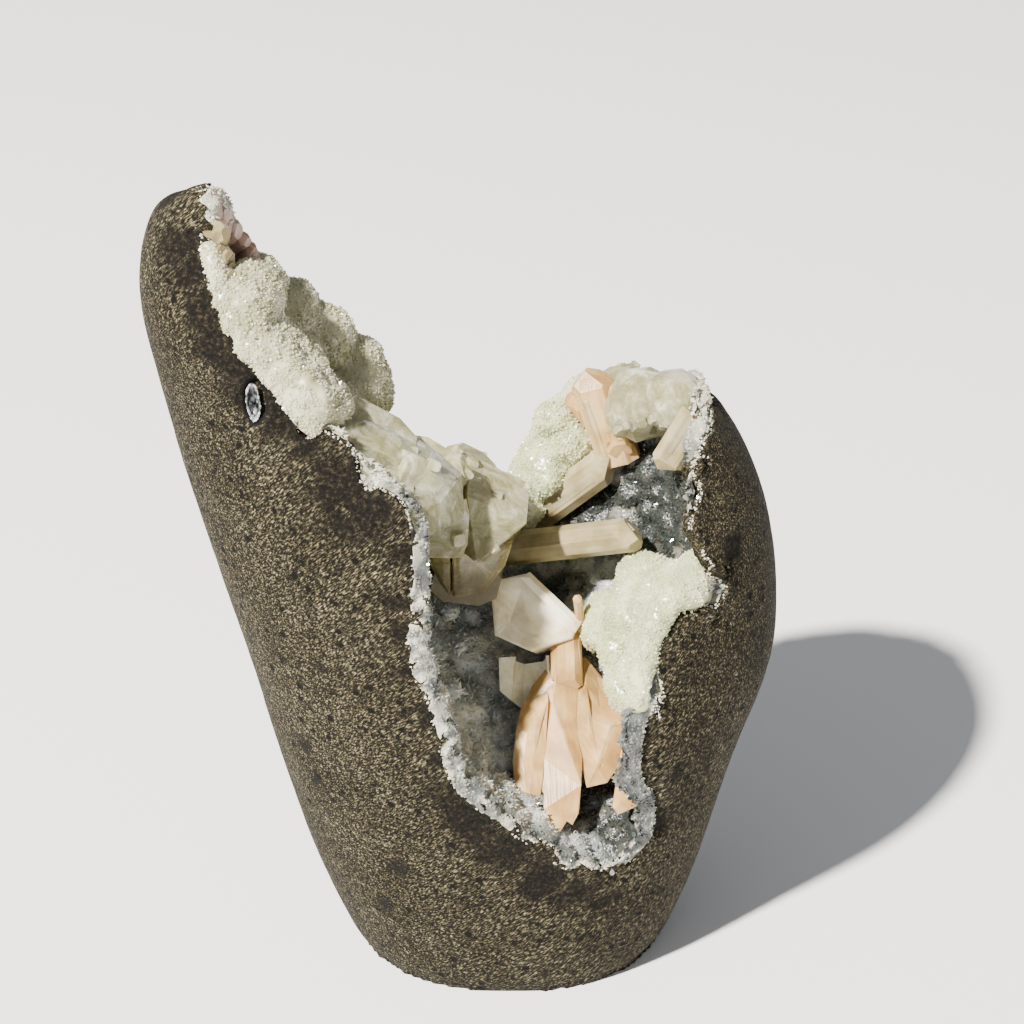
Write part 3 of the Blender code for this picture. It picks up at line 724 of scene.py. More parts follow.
# %% Helpers for the tones of the crust
def bud_at(place):
    """How high the buds stand at a place, and the tone of the highest of them."""
    best, tone = 0, 0.4
    for _, i, distance in buds.find_n(place, 4):
        height = bud_sizes[i] * BUD_HEIGHT * math.sqrt(max(0, 1 - (distance / bud_sizes[i]) ** 2))
        if height > best:
            best, tone = height, bud_tones[i]
    return best, tone


def milkiness(place, deep):
    """White along the rock at the ground skin, a little milky near it, and paler on some buds."""
    off_rock = rock_tree.find_nearest(place)[3] / MM
    whiter = 0.55 + 0.9 * wave(place, 6, 5)
    edge = 1 - eased(off_rock + 0.6 * wave(place, 1.5), 0.1 + 0.15 * whiter, 0.4 + 0.35 * whiter)
    bud = 0.3 * eased(bud_at(place)[1], 0.55, 1)
    flake = 0.5 * marked(place, KNOBS[:1], 0.2)
    high = 0.8 * eased(place.z / MM, 104, 108)
    return min(max(edge * (1 - eased(deep, 1.0, 2.0)), bud, flake, high)
               + 0.12 * wave(place, 0.9), 1)


def duskiness_and_shade(place):
    """How dark the lining is: darker where it is thick, in painted shadow behind some crystals, and
    from bud to bud.
    """
    stray = Vector((wave(place, 7, 6), wave(place, 7, 7), wave(place, 7, 8))) * 5 * MM
    return min(marked(place + stray, DUSKY_AND_SHADE, 0.35) + 0.35 * (bud_at(place)[1] < 0.3), 1)


def band_shade(place, deep):
    """How much painted shade a place gets in the band between the white rim and the hollow."""
    return (0.8 + 0.3 * wave(place, 2, 14)) * (1 - eased(deep + 0.8 * wave(place, 1.6, 12), 1.4, 5))


print("tone helpers are ready")

# %% [markdown]
# The knobs join the solid before the remesh.  After it, the free side is smoothed, and each of
# its points moves out by the height of the buds there.  The points of the ground rim move in
# instead, a little more the further they are from the rock.

# %% Shape of the crust
lining = solid_copy("chalcedony_crust")
for centre, radius in KNOBS:
    bmesh.ops.create_icosphere(lining, subdivisions=2, radius=radius * MM,
                               matrix=Matrix.Translation(Vector(centre) * MM))
crust = evenly_netted("crust", lining, CRUST_NET)
milky_layer = crust.verts.layers.float.new("milky")
dusky_and_shade_layer = crust.verts.layers.float.new("dusky_and_shade")
depths = depths_mm(corners_of(crust))
free = [bare_tree.find_nearest(v.co)[3] / MM for v in crust.verts]
evened(crust, [v for v, deep, gap in zip(crust.verts, depths, free) if gap > 1 and deep > 1],
       CRUST_ROUNDS)
amounts = []
for vert, deep, gap, skin_way in zip(crust.verts, depths, free, outward(corners_of(crust))):
    place = vert.co.copy()
    vert[milky_layer] = milkiness(place, deep)
    # Dark lining and painted shade, the painted band behind the rim included.
    vert[dusky_and_shade_layer] = max(duskiness_and_shade(place), band_shade(place, deep))
    if deep < 0.5:
        slope = BAND_SLOPE * eased(rock_tree.find_nearest(place)[3] / MM, 0.4, 2.6)
        slope += 1.6 * marked(place, TONGUE_PLACE, 0.2)
        amounts.append(Vector(skin_way) * -(BAND_SUNK + slope + 0.25 * wave(place, 1.5)) * MM)
    elif gap > 0.8:
        ragged = 0.5 * wave(place, 3, 4) * (1 - eased(deep, 1, 4))
        amounts.append(vert.normal * (bud_at(place)[0] - 0.2 * MM
                                      + (0.2 * wave(place, 1.3) + ragged) * MM))
    else:
        amounts.append(Vector())
moved(crust, amounts)
crust_piece = object_from("chalcedony_layer", crust)
print("crust net of", len(crust_piece.data.vertices), "points")

# %% [markdown]
# Chalcedony is quartz too fine to see grains in: hard, waxy and milky, darker where it is thick
# over dark rock.  Its quartz points are clear and very smooth, so each facet is a tiny mirror and
# only a few of them flash at once.  The milky values from the mesh make both go pale at the rim.
# The dusky-and-shade values make them deep blue-grey where the lining is thick, and also where
# shade is painted: in the band behind the rim and behind some crystals.

# %% Materials of the crust
def chalcedony_tones(tree, place, dusk_and_shade_tone, dark, middle, pale, white):
    """Blue-grey tones with paler patches, deeper both where the lining is thick and where shade is
    painted, going white at the rim.
    """
    milky = add_node(tree, "ShaderNodeAttribute", attribute_name="milky").outputs["Fac"]
    dusky_and_shade = add_node(tree, "ShaderNodeAttribute", attribute_name="dusky_and_shade").outputs["Fac"]
    patch = add_node(tree, "ShaderNodeTexNoise", {
        "Scale": per_metre(4), "Detail": 4.0, "Roughness": 0.65}, {"Vector": place}).outputs["Fac"]
    tone = add_node(tree, "ShaderNodeValToRGB", links={"Fac": patch}, stops=[
        (0.38, dark), (0.52, middle), (0.68, pale)]).outputs["Color"]
    deep = add_node(tree, "ShaderNodeMix", {7: linear(dusk_and_shade_tone)}, {0: dusky_and_shade, 6: tone},
                    data_type="RGBA").outputs[2]
    return add_node(tree, "ShaderNodeMix", {7: linear(white)}, {0: milky, 6: deep},
                    data_type="RGBA").outputs[2]


druse, tree, shader, place = new_material("druzy quartz on chalcedony", {
    "Roughness": 0.12, "IOR": 1.545, "Subsurface Weight": 0.2, "Subsurface Scale": 0.6 * MM,
    "Subsurface Radius": (0.9, 1.0, 1.1)})
# The first tone serves thick dark lining and painted shade alike.
tree.links.new(chalcedony_tones(tree, place, "#333632", "#8a908f", "#b0b3af", "#cfcfc8", "#cbc7b4"),
               shader.inputs["Base Color"])

layer, tree, shader, place = new_material("milky chalcedony", {
    "Roughness": 0.35, "IOR": 1.54, "Subsurface Weight": 0.2, "Subsurface Scale": 0.8 * MM})
# The first tone serves thick dark lining and painted shade alike.
tree.links.new(chalcedony_tones(tree, place, "#262a28", "#6e7474", "#989c99", "#bfc0ba", "#b9b6a4"),
               shader.inputs["Base Color"])
fine = add_node(tree, "ShaderNodeTexVoronoi", {"Scale": per_metre(0.5)}, {"Vector": place}
                ).outputs["Distance"]
bump = add_node(tree, "ShaderNodeBump", {"Strength": 0.6, "Distance": 0.2 * MM},
                {"Height": fine}).outputs["Normal"]
tree.links.new(bump, shader.inputs["Normal"])
dress(crust_piece, layer, "chalcedony", "chalcedony_crust")

# %% [markdown]
# The points are sown where the hollow is open, and blocky grains on the ground rim, where the wheel
# broke the points off.  Each crystal keeps the milky values and the dusky-and-shade values of its
# place, painted shade included, so the druse changes tone together with the layer below it.

# %% Quartz points on the crust
DRUSE_APART = 0.68
DRUSE_SIZE = (0.5, 1.15)
RIM_APART = 0.55
RIM_SIZE = (0.3, 1.0)


def open_wall(spots):
    """Off the rock's edge, inside the hollow, and not under a larger crystal."""
    fit = depths_mm(spots) > -1
    for i in np.flatnonzero(fit):
        place = Vector(spots[i])
        fit[i] = rock_tree.find_nearest(place)[3] > 1.0 * MM and not buried(place, mineral_trees)
    return fit


def ground_rim(spots):
    """On the pale rim that was ground with the rock, where the rock leaves it bare."""
    fit = depths_mm(spots) < 1.5
    for i in np.flatnonzero(fit):
        place = Vector(spots[i])
        fit[i] = 0.15 < rock_tree.find_nearest(place)[3] / MM < 1.1 and wave(place, 3, 9) > -0.4
    return fit


def lining_marks(made):
    """Marks how milky each crystal is, and how dark from thick lining and painted shade, by where
    it stands.
    """
    places = np.array([v.co for v in made.data.vertices])
    milky = [milkiness(Vector(p), deep) for p, deep in zip(places, depths_mm(places))]
    made.data.attributes.new("milky", "FLOAT", "POINT").data.foreach_set("value", milky)
    dusky_and_shade = [max(duskiness_and_shade(Vector(p)), band_shade(Vector(p), deep))
             for p, deep in zip(places, depths_mm(places))]
    made.data.attributes.new("dusky_and_shade", "FLOAT", "POINT").data.foreach_set("value", dusky_and_shade)


spots, normals = places_on(crust_piece.data, DRUSE_APART, 11, open_wall)
points = sown("quartz_points", QUARTZ_POINT, spots, normals, DRUSE_SIZE, (0.8, 1.5), 0.35, 0.05, 12)
lining_marks(points)
dress(points, druse, "chalcedony", "chalcedony_crust", smooth=False)

spots, normals = places_on(crust_piece.data, RIM_APART, 13, ground_rim)
rim = sown("rim_grains", NUGGET, spots, normals, RIM_SIZE, (0.5, 1.1), 0.7, 0.1, 14)
lining_marks(rim)
dress(rim, druse, "chalcedony", "chalcedony_crust", smooth=False)

# %% [markdown]
# The break in the rock is not clean: whitish grains cling to its steep lip between the ground
# skin and the hollow.  They are kept off the ground skin itself by the slope of the rock under
# them.

# %% Grains on the rock's lip
LIP_APART = 0.42
LIP_SIZE = (0.25, 0.8)
LIP_STEEP = 0.55


def rock_lip(spots):
    """On the rock's own edge, just under the ground skin, where it meets the hollow."""
    deep = depths_mm(spots)
    fit = (deep > 0.2) & (deep < 1.3)
    for i in np.flatnonzero(fit):
        place = Vector(spots[i])
        near = (crust_tree.find_nearest(place)[3] < 2.2 * MM
                or marked(place, TONGUE_PLACE, 0.2) > 0.4)
        fit[i] = near and wave(place, 2.5, 13) > -0.35 and off_bubble(place) > 2
    return fit


spots, normals = places_on(basalt.data, LIP_APART, 15, rock_lip)
steep = (outward(spots) * normals).sum(axis=1) < LIP_STEEP
lip = sown("lip_grains", NUGGET, spots[steep], normals[steep], LIP_SIZE, (0.5, 1.1), 0.7, 0.05, 16)
whites = [0.6 + 0.4 * wave(v.co, 1.2) for v in lip.data.vertices]
lip.data.attributes.new("milky", "FLOAT", "POINT").data.foreach_set("value", whites)
dress(lip, druse, "chalcedony", "chalcedony_crust", smooth=False)

# %% [markdown]
# ## The small lined bubble
#
# On the front of the horn the wheel cut through a second, tiny bubble.  Its lining is a thin pale
# ring with fine points round the bubble's open middle, where the shade inside is painted as a dark
# slot.

# %% The small bubble's ring
RING_NET = 0.16

ring = evenly_netted("ring", solid_copy("vesicle_lining"), RING_NET)
slot_shade_layer = ring.verts.layers.float.new("slot")
for vert in ring.verts:
    # Painted shade: the middle of the bubble is marked dark.
    vert[slot_shade_layer] = 1 - eased(off_bubble(vert.co) + 0.2 * wave(vert.co, 1.2), 0.5, 0.85)
ring.normal_update()
moved(ring, [v.normal * (0.3 * wave(v.co, 0.8) - 0.32) * MM for v in ring.verts])
ring_piece = object_from("small_bubble_ring", ring)
ring_look, tree, shader, place = new_material("pale blue chalcedony", {
    "Roughness": 0.3, "IOR": 1.54, "Subsurface Weight": 0.2, "Subsurface Scale": 0.5 * MM})
speck = add_node(tree, "ShaderNodeTexNoise", {"Scale": per_metre(0.7), "Detail": 3.0},
                 {"Vector": place}).outputs["Fac"]
speckled = add_node(tree, "ShaderNodeValToRGB", links={"Fac": speck}, stops=[
    (0.36, "#2c3036"), (0.47, "#7b828a"), (0.62, "#cfd2d0")]).outputs["Color"]
# Painted shade of the bubble's open middle, nearly black.
slot_shade_value = add_node(tree, "ShaderNodeAttribute", attribute_name="slot").outputs["Fac"]
tree.links.new(add_node(tree, "ShaderNodeMix", {7: linear("#0a0a0b")}, {0: slot_shade_value, 6: speckled},
                        data_type="RGBA").outputs[2], shader.inputs["Base Color"])
dress(ring_piece, ring_look, "pale_chalcedony", "vesicle_lining")

# %% [markdown]
# ## Prehnite
#
# Prehnite grows as rounded lumps, and here each is coated with tiny sugary crystals.  The lumps
# reach across the crust to the rock's edge, so a row of smaller beads joins each mass there,
# half sunk in the ground skin.

# %% Measures of the prehnite
PREHNITE_NET = 0.5
PREHNITE_ROUNDS = 30
SUGAR_APART = 0.47
SUGAR_SIZE = (0.3, 0.98)
# Beads along the rock's edge: course in mm, radius, and how far below the ground skin.
HORN_EDGE = [(-50.4, -13, 145.6), (-49, -16.5, 142.6), (-48.2, -19, 138.6), (-47, -21.3, 134.3),
             (-45.6, -22.6, 131), (-43.5, -24, 127.6), (-40.6, -25, 124.6), (-37.6, -26, 121),
             (-35, -26.9, 117.8), (-33, -27.5, 115.6)]
HORN_FILL = HORN_EDGE[3:9]
TIP_EDGE = [(-52, -8.4, 147.6), (-51.2, -11, 146.6), (-50.4, -13, 145.2)]
MOUND_EDGE = [(22.6, -34, 66), (22.8, -33.8, 70), (23.4, -33.2, 75), (25.4, -31.8, 81),
              (28, -30, 83.6), (32, -27.6, 84)]
MOUND_FILL = [(23, -27, 68), (25, -26.5, 73), (28, -24.5, 78), (32, -21.6, 82)]
print("five courses of beads on the prehnite")

# %% [markdown]
# Light goes a little way into prehnite, so it looks soft and waxy, and pale green where it is
# thick.  On the horn it is duller and browner than on the mound.

# %% Material of the prehnite
def sugar_look(name, shade, middle, light):
    """Waxy prehnite in a range of tones."""
    made, tree, shader, place = new_material(name, {
        "Roughness": 0.28, "IOR": 1.63, "Subsurface Weight": 0.6, "Subsurface Scale": 2.0 * MM,
        "Subsurface Radius": (1.0, 0.95, 0.65)})
    patch = add_node(tree, "ShaderNodeTexNoise", {"Scale": per_metre(5), "Detail": 4.0},
                     {"Vector": place}).outputs["Fac"]
    tree.links.new(add_node(tree, "ShaderNodeValToRGB", links={"Fac": patch}, stops=[
        (0.38, shade), (0.5, middle), (0.64, light)]).outputs["Color"],
        shader.inputs["Base Color"])
    return made


horn_prehnite = sugar_look("sugary prehnite of the horn", "#a3a07c", "#b5b18e", "#c8c3a4")
green_prehnite = sugar_look("pale green prehnite", "#b6bb8c", "#c8c998", "#dad6ac")
print("two shades of prehnite")

# %% [markdown]
# Each mass is made in three steps: beads join its solid, a remesh and many rounds of smoothing
# melt them together, and noise swells the skin into knobs.  The sugar is then sown on that skin
# where it is open to the air.

# %% Prehnite lumps
def beads_between(course, apart_mm):
    """Places a set distance apart along a course of straight runs, in mm."""
    places = []
    for start, end in zip(course, course[1:]):
        start, end = Vector(start), Vector(end)
        count = max(1, round((end - start).length / apart_mm))
        places += [start.lerp(end, k / count) for k in range(count)]
    return places + [Vector(course[-1])]


def beaded(shape, course, radius, sunk, aside):
    """Adds round beads along a course, below the ground skin and aside into the hollow."""
    places = [p * MM for p in beads_between(course, radius * 0.75)]
    for i, place in enumerate(places):
        run = places[min(i + 1, len(places) - 1)] - places[max(i - 1, 0)]
        out = Vector(outward([place])[0])
        stray = wave(place, 3, 11)
        centre = place + (out.cross(run.normalized()) * aside - out * (sunk + 0.8 * stray)) * MM
        bmesh.ops.create_icosphere(shape, subdivisions=2, radius=radius * (1 + 0.35 * stray) * MM,
                                   matrix=Matrix.Translation(centre))


def sugary(node, look, seed, *rows):
    """One mass of prehnite: its knobbly lumps, and the sugar that is sown on them."""
    lump = solid_copy(node)
    for row in rows:
        beaded(lump, *row)
    lump = evenly_netted(node, lump, PREHNITE_NET)
    evened(lump, lump.verts, PREHNITE_ROUNDS)
    moved(lump, [v.normal * (0.5 + 0.6 * wave(v.co, 3.2) + 0.35 * wave(v.co, 1.3)) * MM
                 for v in lump.verts])
    body = object_from(node + "_lumps", lump)
    others = crystal_trees("chalcedony_crust", "basalt_matrix", *[n for n in minerals if n != node])

    def in_the_open(spots):
        """Out of the rock and the crust, and outside the neighbours."""
        return np.array([not buried(Vector(p), others, 0.5) for p in spots])

    spots, normals = places_on(body.data, SUGAR_APART, seed, in_the_open)
    sugar = sown(node + "_sugar", NUGGET, spots, normals, SUGAR_SIZE, (0.7, 1.4), 0.6, 0.02,
                 seed + 1)
    dress(body, look, "prehnite", node)
    dress(sugar, look, "prehnite", node, smooth=False)


sugary("prehnite_horn", horn_prehnite, 21, (HORN_EDGE, 1.9, 1.5, 0.4), (HORN_FILL, 2.9, 3.0, 3.0),
       (TIP_EDGE, 1.7, 1.2, 0.6))
sugary("prehnite_wall", green_prehnite, 31)
sugary("prehnite_mound", green_prehnite, 41, (MOUND_EDGE, 2.2, 1.8, 0.4), (MOUND_FILL, 4.4, 1.0, 0))

# %% [markdown]
# ## Apophyllite
#
# Apophyllite is glassy, with square blocky crystals that split in flat layers.  Light passes
# through it, and its cleavage planes show inside as pale veils, drawn by a noise with a stepped
# ramp.  Lower down it is darker amber, partly a real stain and partly painted shade, and its faces
# are duller, and where the wheel cut it, it is cream.

# %% Material of the apophyllite
GLASS_ROUGHNESS = 0.14
DULL_ROUGHNESS = 0.6
DULL_FROM = 84
DULL_TO = 80


def glassy(name, clearness, tones, low_stain_and_shade_tone, low_from, low_to):
    """Clear apophyllite with veils, another tone below some height, which on the honey and amber
    ones is stain and painted shade, and cream where ground.
    """
    made, tree, shader, place = new_material(name, {
        "Roughness": GLASS_ROUGHNESS, "IOR": 1.535, "Transmission Weight": clearness,
        "Subsurface Weight": 0.5, "Subsurface Scale": 3.0 * MM,
        "Subsurface Radius": (1.0, 0.95, 0.6)})
    streak = add_node(tree, "ShaderNodeTexNoise", {"Scale": per_metre(3.6), "Detail": 5.0,
                                                   "Roughness": 0.7, "Distortion": 0.8},
                      {"Vector": place}).outputs["Fac"]
    veiled = add_node(tree, "ShaderNodeValToRGB", links={"Fac": streak}, stops=list(zip(
        (0.36, 0.48, 0.58, 0.66), tones))).outputs["Color"]
    height = add_node(tree, "ShaderNodeSeparateXYZ", links={"Vector": place}).outputs["Z"]
    # Below some height the tone darkens: a real amber stain and painted shade together.
    thick = add_node(tree, "ShaderNodeMapRange", {
        "From Min": low_from * MM, "From Max": low_to * MM, "To Min": 0.0, "To Max": 0.9},
        {"Value": height}, interpolation_type="SMOOTHSTEP").outputs["Result"]
    stained_and_shaded = add_node(tree, "ShaderNodeMix", {7: linear(low_stain_and_shade_tone)}, {0: thick, 6: veiled},
                       data_type="RGBA").outputs[2]
    ground = add_node(tree, "ShaderNodeAttribute", attribute_name="ground").outputs["Fac"]
    tree.links.new(add_node(tree, "ShaderNodeMix", {7: linear("#e0dac2")}, {
        0: ground, 6: stained_and_shaded}, data_type="RGBA").outputs[2], shader.inputs["Base Color"])
    fine = add_node(tree, "ShaderNodeTexNoise", {"Scale": per_metre(1.6), "Detail": 4.0},
                    {"Vector": place}).outputs["Fac"]
    dull = add_node(tree, "ShaderNodeMapRange", {
        "From Min": DULL_FROM * MM, "From Max": DULL_TO * MM, "To Min": GLASS_ROUGHNESS,
        "To Max": DULL_ROUGHNESS}, {"Value": height}).outputs["Result"]
    tree.links.new(dull, shader.inputs["Roughness"])
    bump = add_node(tree, "ShaderNodeBump", {"Strength": 0.7, "Distance": 0.4 * MM},
                    {"Height": fine}).outputs["Normal"]
    tree.links.new(bump, shader.inputs["Normal"])
    return made


# The honey's low dark tone is amber stain and painted shade together.
honey = glassy("honey apophyllite", 0.4, ("#a29d70", "#c0bb92", "#d8d3b4", "#f6f2e2"),
               "#4c4018", 95, 81)
clear = glassy("clear apophyllite", 0.4, ("#98946c", "#b0ac86", "#c8c4a4", "#f1eddc"),
               "#c4bc90", 30, 20)
# The amber tones are partly the mineral's stain and partly painted shade, for blocks under the
# cluster.
amber_and_shade = glassy("amber apophyllite", 0.25, ("#6f6538", "#857a48", "#9a8f5c", "#c9c19a"),
               "#40350f", 86, 76)
# The pale shade is painted light: the plate sits in the block's shade and is coloured paler, as if
# lit.
pale = glassy("pale apophyllite", 0.1, ("#ccc8a4", "#dcd8b8", "#e8e4cc", "#f6f3e6"),
              "#c4bc90", 30, 20)
print("four shades of apophyllite")

# %% [markdown]
# The solids give the large faces.  Their real edges are bevelled a little, because no edge is
# knife sharp, while the flat seams within a face are dissolved first and stay flat.  Small
# blocks crowd the broken edges of the cluster and of the shoulder.

# %% Apophyllite blocks
EDGE_WIDTH = 0.2
STEP_APART = 3.0
SHOULDER_STEP_APART = 2.2
STEP_SIZE = (0.8, 2.2)
STEP_LOWEST = 86


def edged(node, name, width_mm):
    """A solid's copy with its real edges bevelled."""
    shape = solid_copy(node)
    bmesh.ops.dissolve_limit(shape, angle_limit=math.radians(3), verts=shape.verts,
                             edges=shape.edges)
    sharp = [e for e in shape.edges if len(e.link_faces) == 2
             and e.calc_face_angle(0) > math.radians(18)]
    bmesh.ops.bevel(shape, geom=sharp, offset=width_mm * MM, offset_type="OFFSET",
                    affect="EDGES", segments=2, profile=0.5, material=-1,
                    clamp_overlap=True)
    bmesh.ops.triangulate(shape, faces=shape.faces)
    return object_from(name, shape)


def stepped(node, look, seed, apart_mm, size_mm):
    """Small blocks that crowd a mass of apophyllite, out of the crust and off the neighbours."""
    others = crystal_trees("chalcedony_crust", "basalt_matrix", *[n for n in minerals if n != node])
    spots, normals = places_on(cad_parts[node].data, apart_mm, seed, lambda spots: np.array(
        [wave(Vector(p), 6, seed) > 0.16 and p[2] > STEP_LOWEST * MM
         and not buried(Vector(p), others, 0) for p in spots]))
    steps = sown(node + "_steps", SMALL_BLOCK, spots, normals, size_mm, (0.5, 1.1), 0.25, -0.1,
                 seed)
    dress(steps, look, "apophyllite", node, smooth=False)


# The plate's pale apophyllite is painted light, paler than it is, since the plate lies in shade.
APOPHYLLITES = {"apophyllite_cluster": honey, "apophyllite_plate": pale,
                "apophyllite_shoulder": clear}
for node, look in APOPHYLLITES.items():
    made = edged(node, node + "_blocks", EDGE_WIDTH)
    places = np.array([v.co for v in made.data.vertices])
    ground_off = 0.8 if node == "apophyllite_shoulder" else 0.1
    values = [ground_off * (1 - eased(deep, 0.3, 1.2)) for deep in depths_mm(places)]
    made.data.attributes.new("ground", "FLOAT", "POINT").data.foreach_set("value", values)
    dress(made, look, "apophyllite", node, smooth=False)
stepped("apophyllite_cluster", honey, 51, STEP_APART, STEP_SIZE)
stepped("apophyllite_shoulder", clear, 52, SHOULDER_STEP_APART, STEP_SIZE)

# %% [markdown]
# ## Stilbite
#
# Stilbite grows as flat peach blades in sheaves, pearly on their broad faces and finely lined
# along their length.  Each blade is really many thin laths side by side that end at different
# lengths, so a blade here is a main lath with its tip cut to a blunt wedge, and thinner laths
# laid on it.  The wide crystals in front show their outline best, so those start from a traced
# face that is carried back, with its edge chamfered.

# %% Helpers for stilbite
# How far each crystal's lines are moved along, so that no two crystals look alike.
GRAIN_SHIFT = 7


def cut(shape, place, normal):
    """Cuts off what lies beyond a plane and closes the cut."""
    everything = shape.verts[:] + shape.edges[:] + shape.faces[:]
    done = bmesh.ops.bisect_plane(shape, geom=everything, dist=1e-7, plane_co=place,
                                  plane_no=normal, clear_outer=True)
    rim = [e for e in done["geom_cut"] if isinstance(e, bmesh.types.BMEdge)]
    bmesh.ops.holes_fill(shape, edges=rim, sides=0)


def lath(wide, thick, long, slant, bluntness):
    """A flat prism along Z with chamfered edges and a wedge tip, in metres."""
    shape = bmesh.new()
    bmesh.ops.create_cube(shape, size=1, matrix=Matrix.Translation((0, 0, 0.5)))
    bmesh.ops.scale(shape, vec=(wide, thick, long), verts=shape.verts)
    uprights = [e for e in shape.edges if abs(e.verts[0].co.z - e.verts[1].co.z) > long / 2]
    bmesh.ops.bevel(shape, geom=uprights, offset=min(wide, thick) * 0.3, offset_type="OFFSET",
                    affect="EDGES", segments=1, profile=0.5, material=-1)
    top = long - 0.1 * wide
    cut(shape, (slant * wide, 0, top), (math.sin(bluntness), 0, math.cos(bluntness)))
    cut(shape, (slant * wide, 0, top), (-math.sin(bluntness * 0.8), 0, math.cos(bluntness * 0.8)))
    cut(shape, (0, -thick * 0.1, top), (0, -math.sin(0.9), math.cos(0.9)))
    cut(shape, (0, thick * 0.2, top), (0, math.sin(0.7), math.cos(0.7)))
    return shape


def laid(group, shape, origin, across, deep, run):
    """Adds a shape to a group, turned and placed, with its own measures kept for the grain."""
    grain = shape.verts.layers.float_vector.new("grain")
    shift = origin * GRAIN_SHIFT
    turn = Matrix((across, deep, run)).transposed()
    for vert in shape.verts:
        vert[grain] = vert.co + shift
        vert.co = origin + turn @ vert.co
    bmesh.ops.recalc_face_normals(shape, faces=shape.faces)
    bmesh.ops.triangulate(shape, faces=shape.faces)
    part = bpy.data.meshes.new("part")
    shape.to_mesh(part)
    shape.free()
    group.from_mesh(part)
    bpy.data.meshes.remove(part)


def blade(group, foot, tip, breadth, thickness, looks, laths, seed):
    """One stilbite blade from its foot to its tip, as a main lath with thinner ones on it."""
    rng = np.random.default_rng(seed)
    foot, tip = Vector(foot) * MM, Vector(tip) * MM
    run = (tip - foot).normalized()
    deep = -(Vector(looks) - run * run.dot(Vector(looks))).normalized()
    across = deep.cross(run)
    long = (tip - foot).length
    wide, thick = breadth * MM, thickness * MM
    laid(group, lath(wide, thick, long, rng.uniform(-0.3, 0.3), 0.75), foot, across, deep, run)
    for k in range(laths):
        part = rng.uniform(0.2, 0.45)
        aside = rng.uniform(-0.5, 0.5) * (1 - part) * wide
        out = -thick * rng.uniform(0.02, 0.1) if k % 3 else thick * rng.uniform(0.02, 0.08)
        thin = lath(part * wide, thick * 0.95, long * rng.uniform(0.62, 0.97),
                    rng.uniform(-0.3, 0.3), rng.uniform(0.5, 0.95))
        laid(group, thin, foot + across * aside + deep * out, across, deep, run)


def tablet(group, outline, depth, chamfer, lift, ridge=None):
    """A wide crystal from its front outline in mm, carried back, with a raised ridge or face."""
    outline, depth = [Vector(p) * MM for p in outline], Vector(depth) * MM
    middle = sum(outline, Vector()) / len(outline)
    run = (outline[0] - outline[len(outline) // 2]).normalized()
    deep = (depth - run * run.dot(depth)).normalized()
    across = deep.cross(run)
    turn = Matrix((across, deep, run))
    shape = bmesh.new()
    front = shape.faces.new([shape.verts.new(turn @ (p - middle)) for p in outline])
    rear = bmesh.ops.extrude_face_region(shape, geom=[front], use_keep_orig=True)["geom"]
    rear = [v for v in rear if isinstance(v, bmesh.types.BMVert)]
    for vert in rear:
        vert.co = vert.co * 0.8 + turn @ depth
    bmesh.ops.recalc_face_normals(shape, faces=shape.faces)
    if ridge:
        corners = list(front.verts)
        ends = [corners[i] for i in ridge]
        bmesh.ops.connect_verts(shape, verts=ends)
        for vert in ends:
            vert.co.y -= lift * MM
        chamfered = [e for e in shape.edges if all(v in corners for v in e.verts)]
    else:
        bmesh.ops.inset_region(shape, faces=[front], thickness=chamfer * 1.4 * MM,
                               depth=lift * MM, use_even_offset=True)
        chamfered = [e for e in shape.edges if not any(v in rear for v in e.verts)]
    bmesh.ops.bevel(shape, geom=chamfered, offset=chamfer * 0.3 * MM, offset_type="OFFSET",
                    affect="EDGES", segments=2, profile=0.5, material=-1, clamp_overlap=True)
    laid(group, shape, middle, across, deep, run)


def grown_group(rows=(), laths=0, seed=0):
    """A bmesh with a blade for each row of foot, tip, breadth, thickness and looks."""
    group = bmesh.new()
    group.verts.layers.float_vector.new("grain")
    for k, row in enumerate(rows):
        blade(group, *row, laths, seed + k)
    return group


print("stilbite is ready to grow")

# %% [markdown]
# The peach colour comes from a trace of iron.  The broad faces have a pearly sheen, because the
# mineral cleaves along them and light comes back from inside.  The grain value keeps each
# blade's own measures, so the fine lines run along every blade, whichever way it points.

# %% Material of the stilbite
def pearly(name, shade, middle, light):
    """Stilbite with lengthwise lines, in a range of tones."""
    made, tree, shader, place = new_material(name, {
        "Roughness": 0.33, "IOR": 1.5, "Subsurface Weight": 0.4, "Subsurface Scale": 1.6 * MM,
        "Subsurface Radius": (1.0, 0.9, 0.7), "Coat Weight": 0.08, "Coat Roughness": 0.15,
        "Specular IOR Level": 0.35})
    own = add_node(tree, "ShaderNodeAttribute", attribute_name="grain").outputs["Vector"]
    long = add_node(tree, "ShaderNodeMapping", {"Scale": (1, 1, 0.07)}, {"Vector": own}
                    ).outputs["Vector"]
    lines = add_node(tree, "ShaderNodeTexNoise", {
        "Scale": per_metre(0.7), "Detail": 3.0, "Roughness": 0.6}, {"Vector": long}).outputs["Fac"]
    cloudy = add_node(tree, "ShaderNodeTexNoise", {"Scale": per_metre(6), "Detail": 4.0},
                      {"Vector": place}).outputs["Fac"]
    both = add_node(tree, "ShaderNodeMix", {"Factor": 0.22}, {2: cloudy, 3: lines}).outputs[0]
    tree.links.new(add_node(tree, "ShaderNodeValToRGB", links={"Fac": both}, stops=[
        (0.38, shade), (0.5, middle), (0.62, light)]).outputs["Color"], shader.inputs["Base Color"])
    bump = add_node(tree, "ShaderNodeBump", {"Strength": 0.35, "Distance": 0.2 * MM},
                    {"Height": lines}).outputs["Normal"]
    tree.links.new(bump, shader.inputs["Normal"])
    return made


peach = pearly("peach stilbite", "#a07c48", "#b8935c", "#cdac7a")
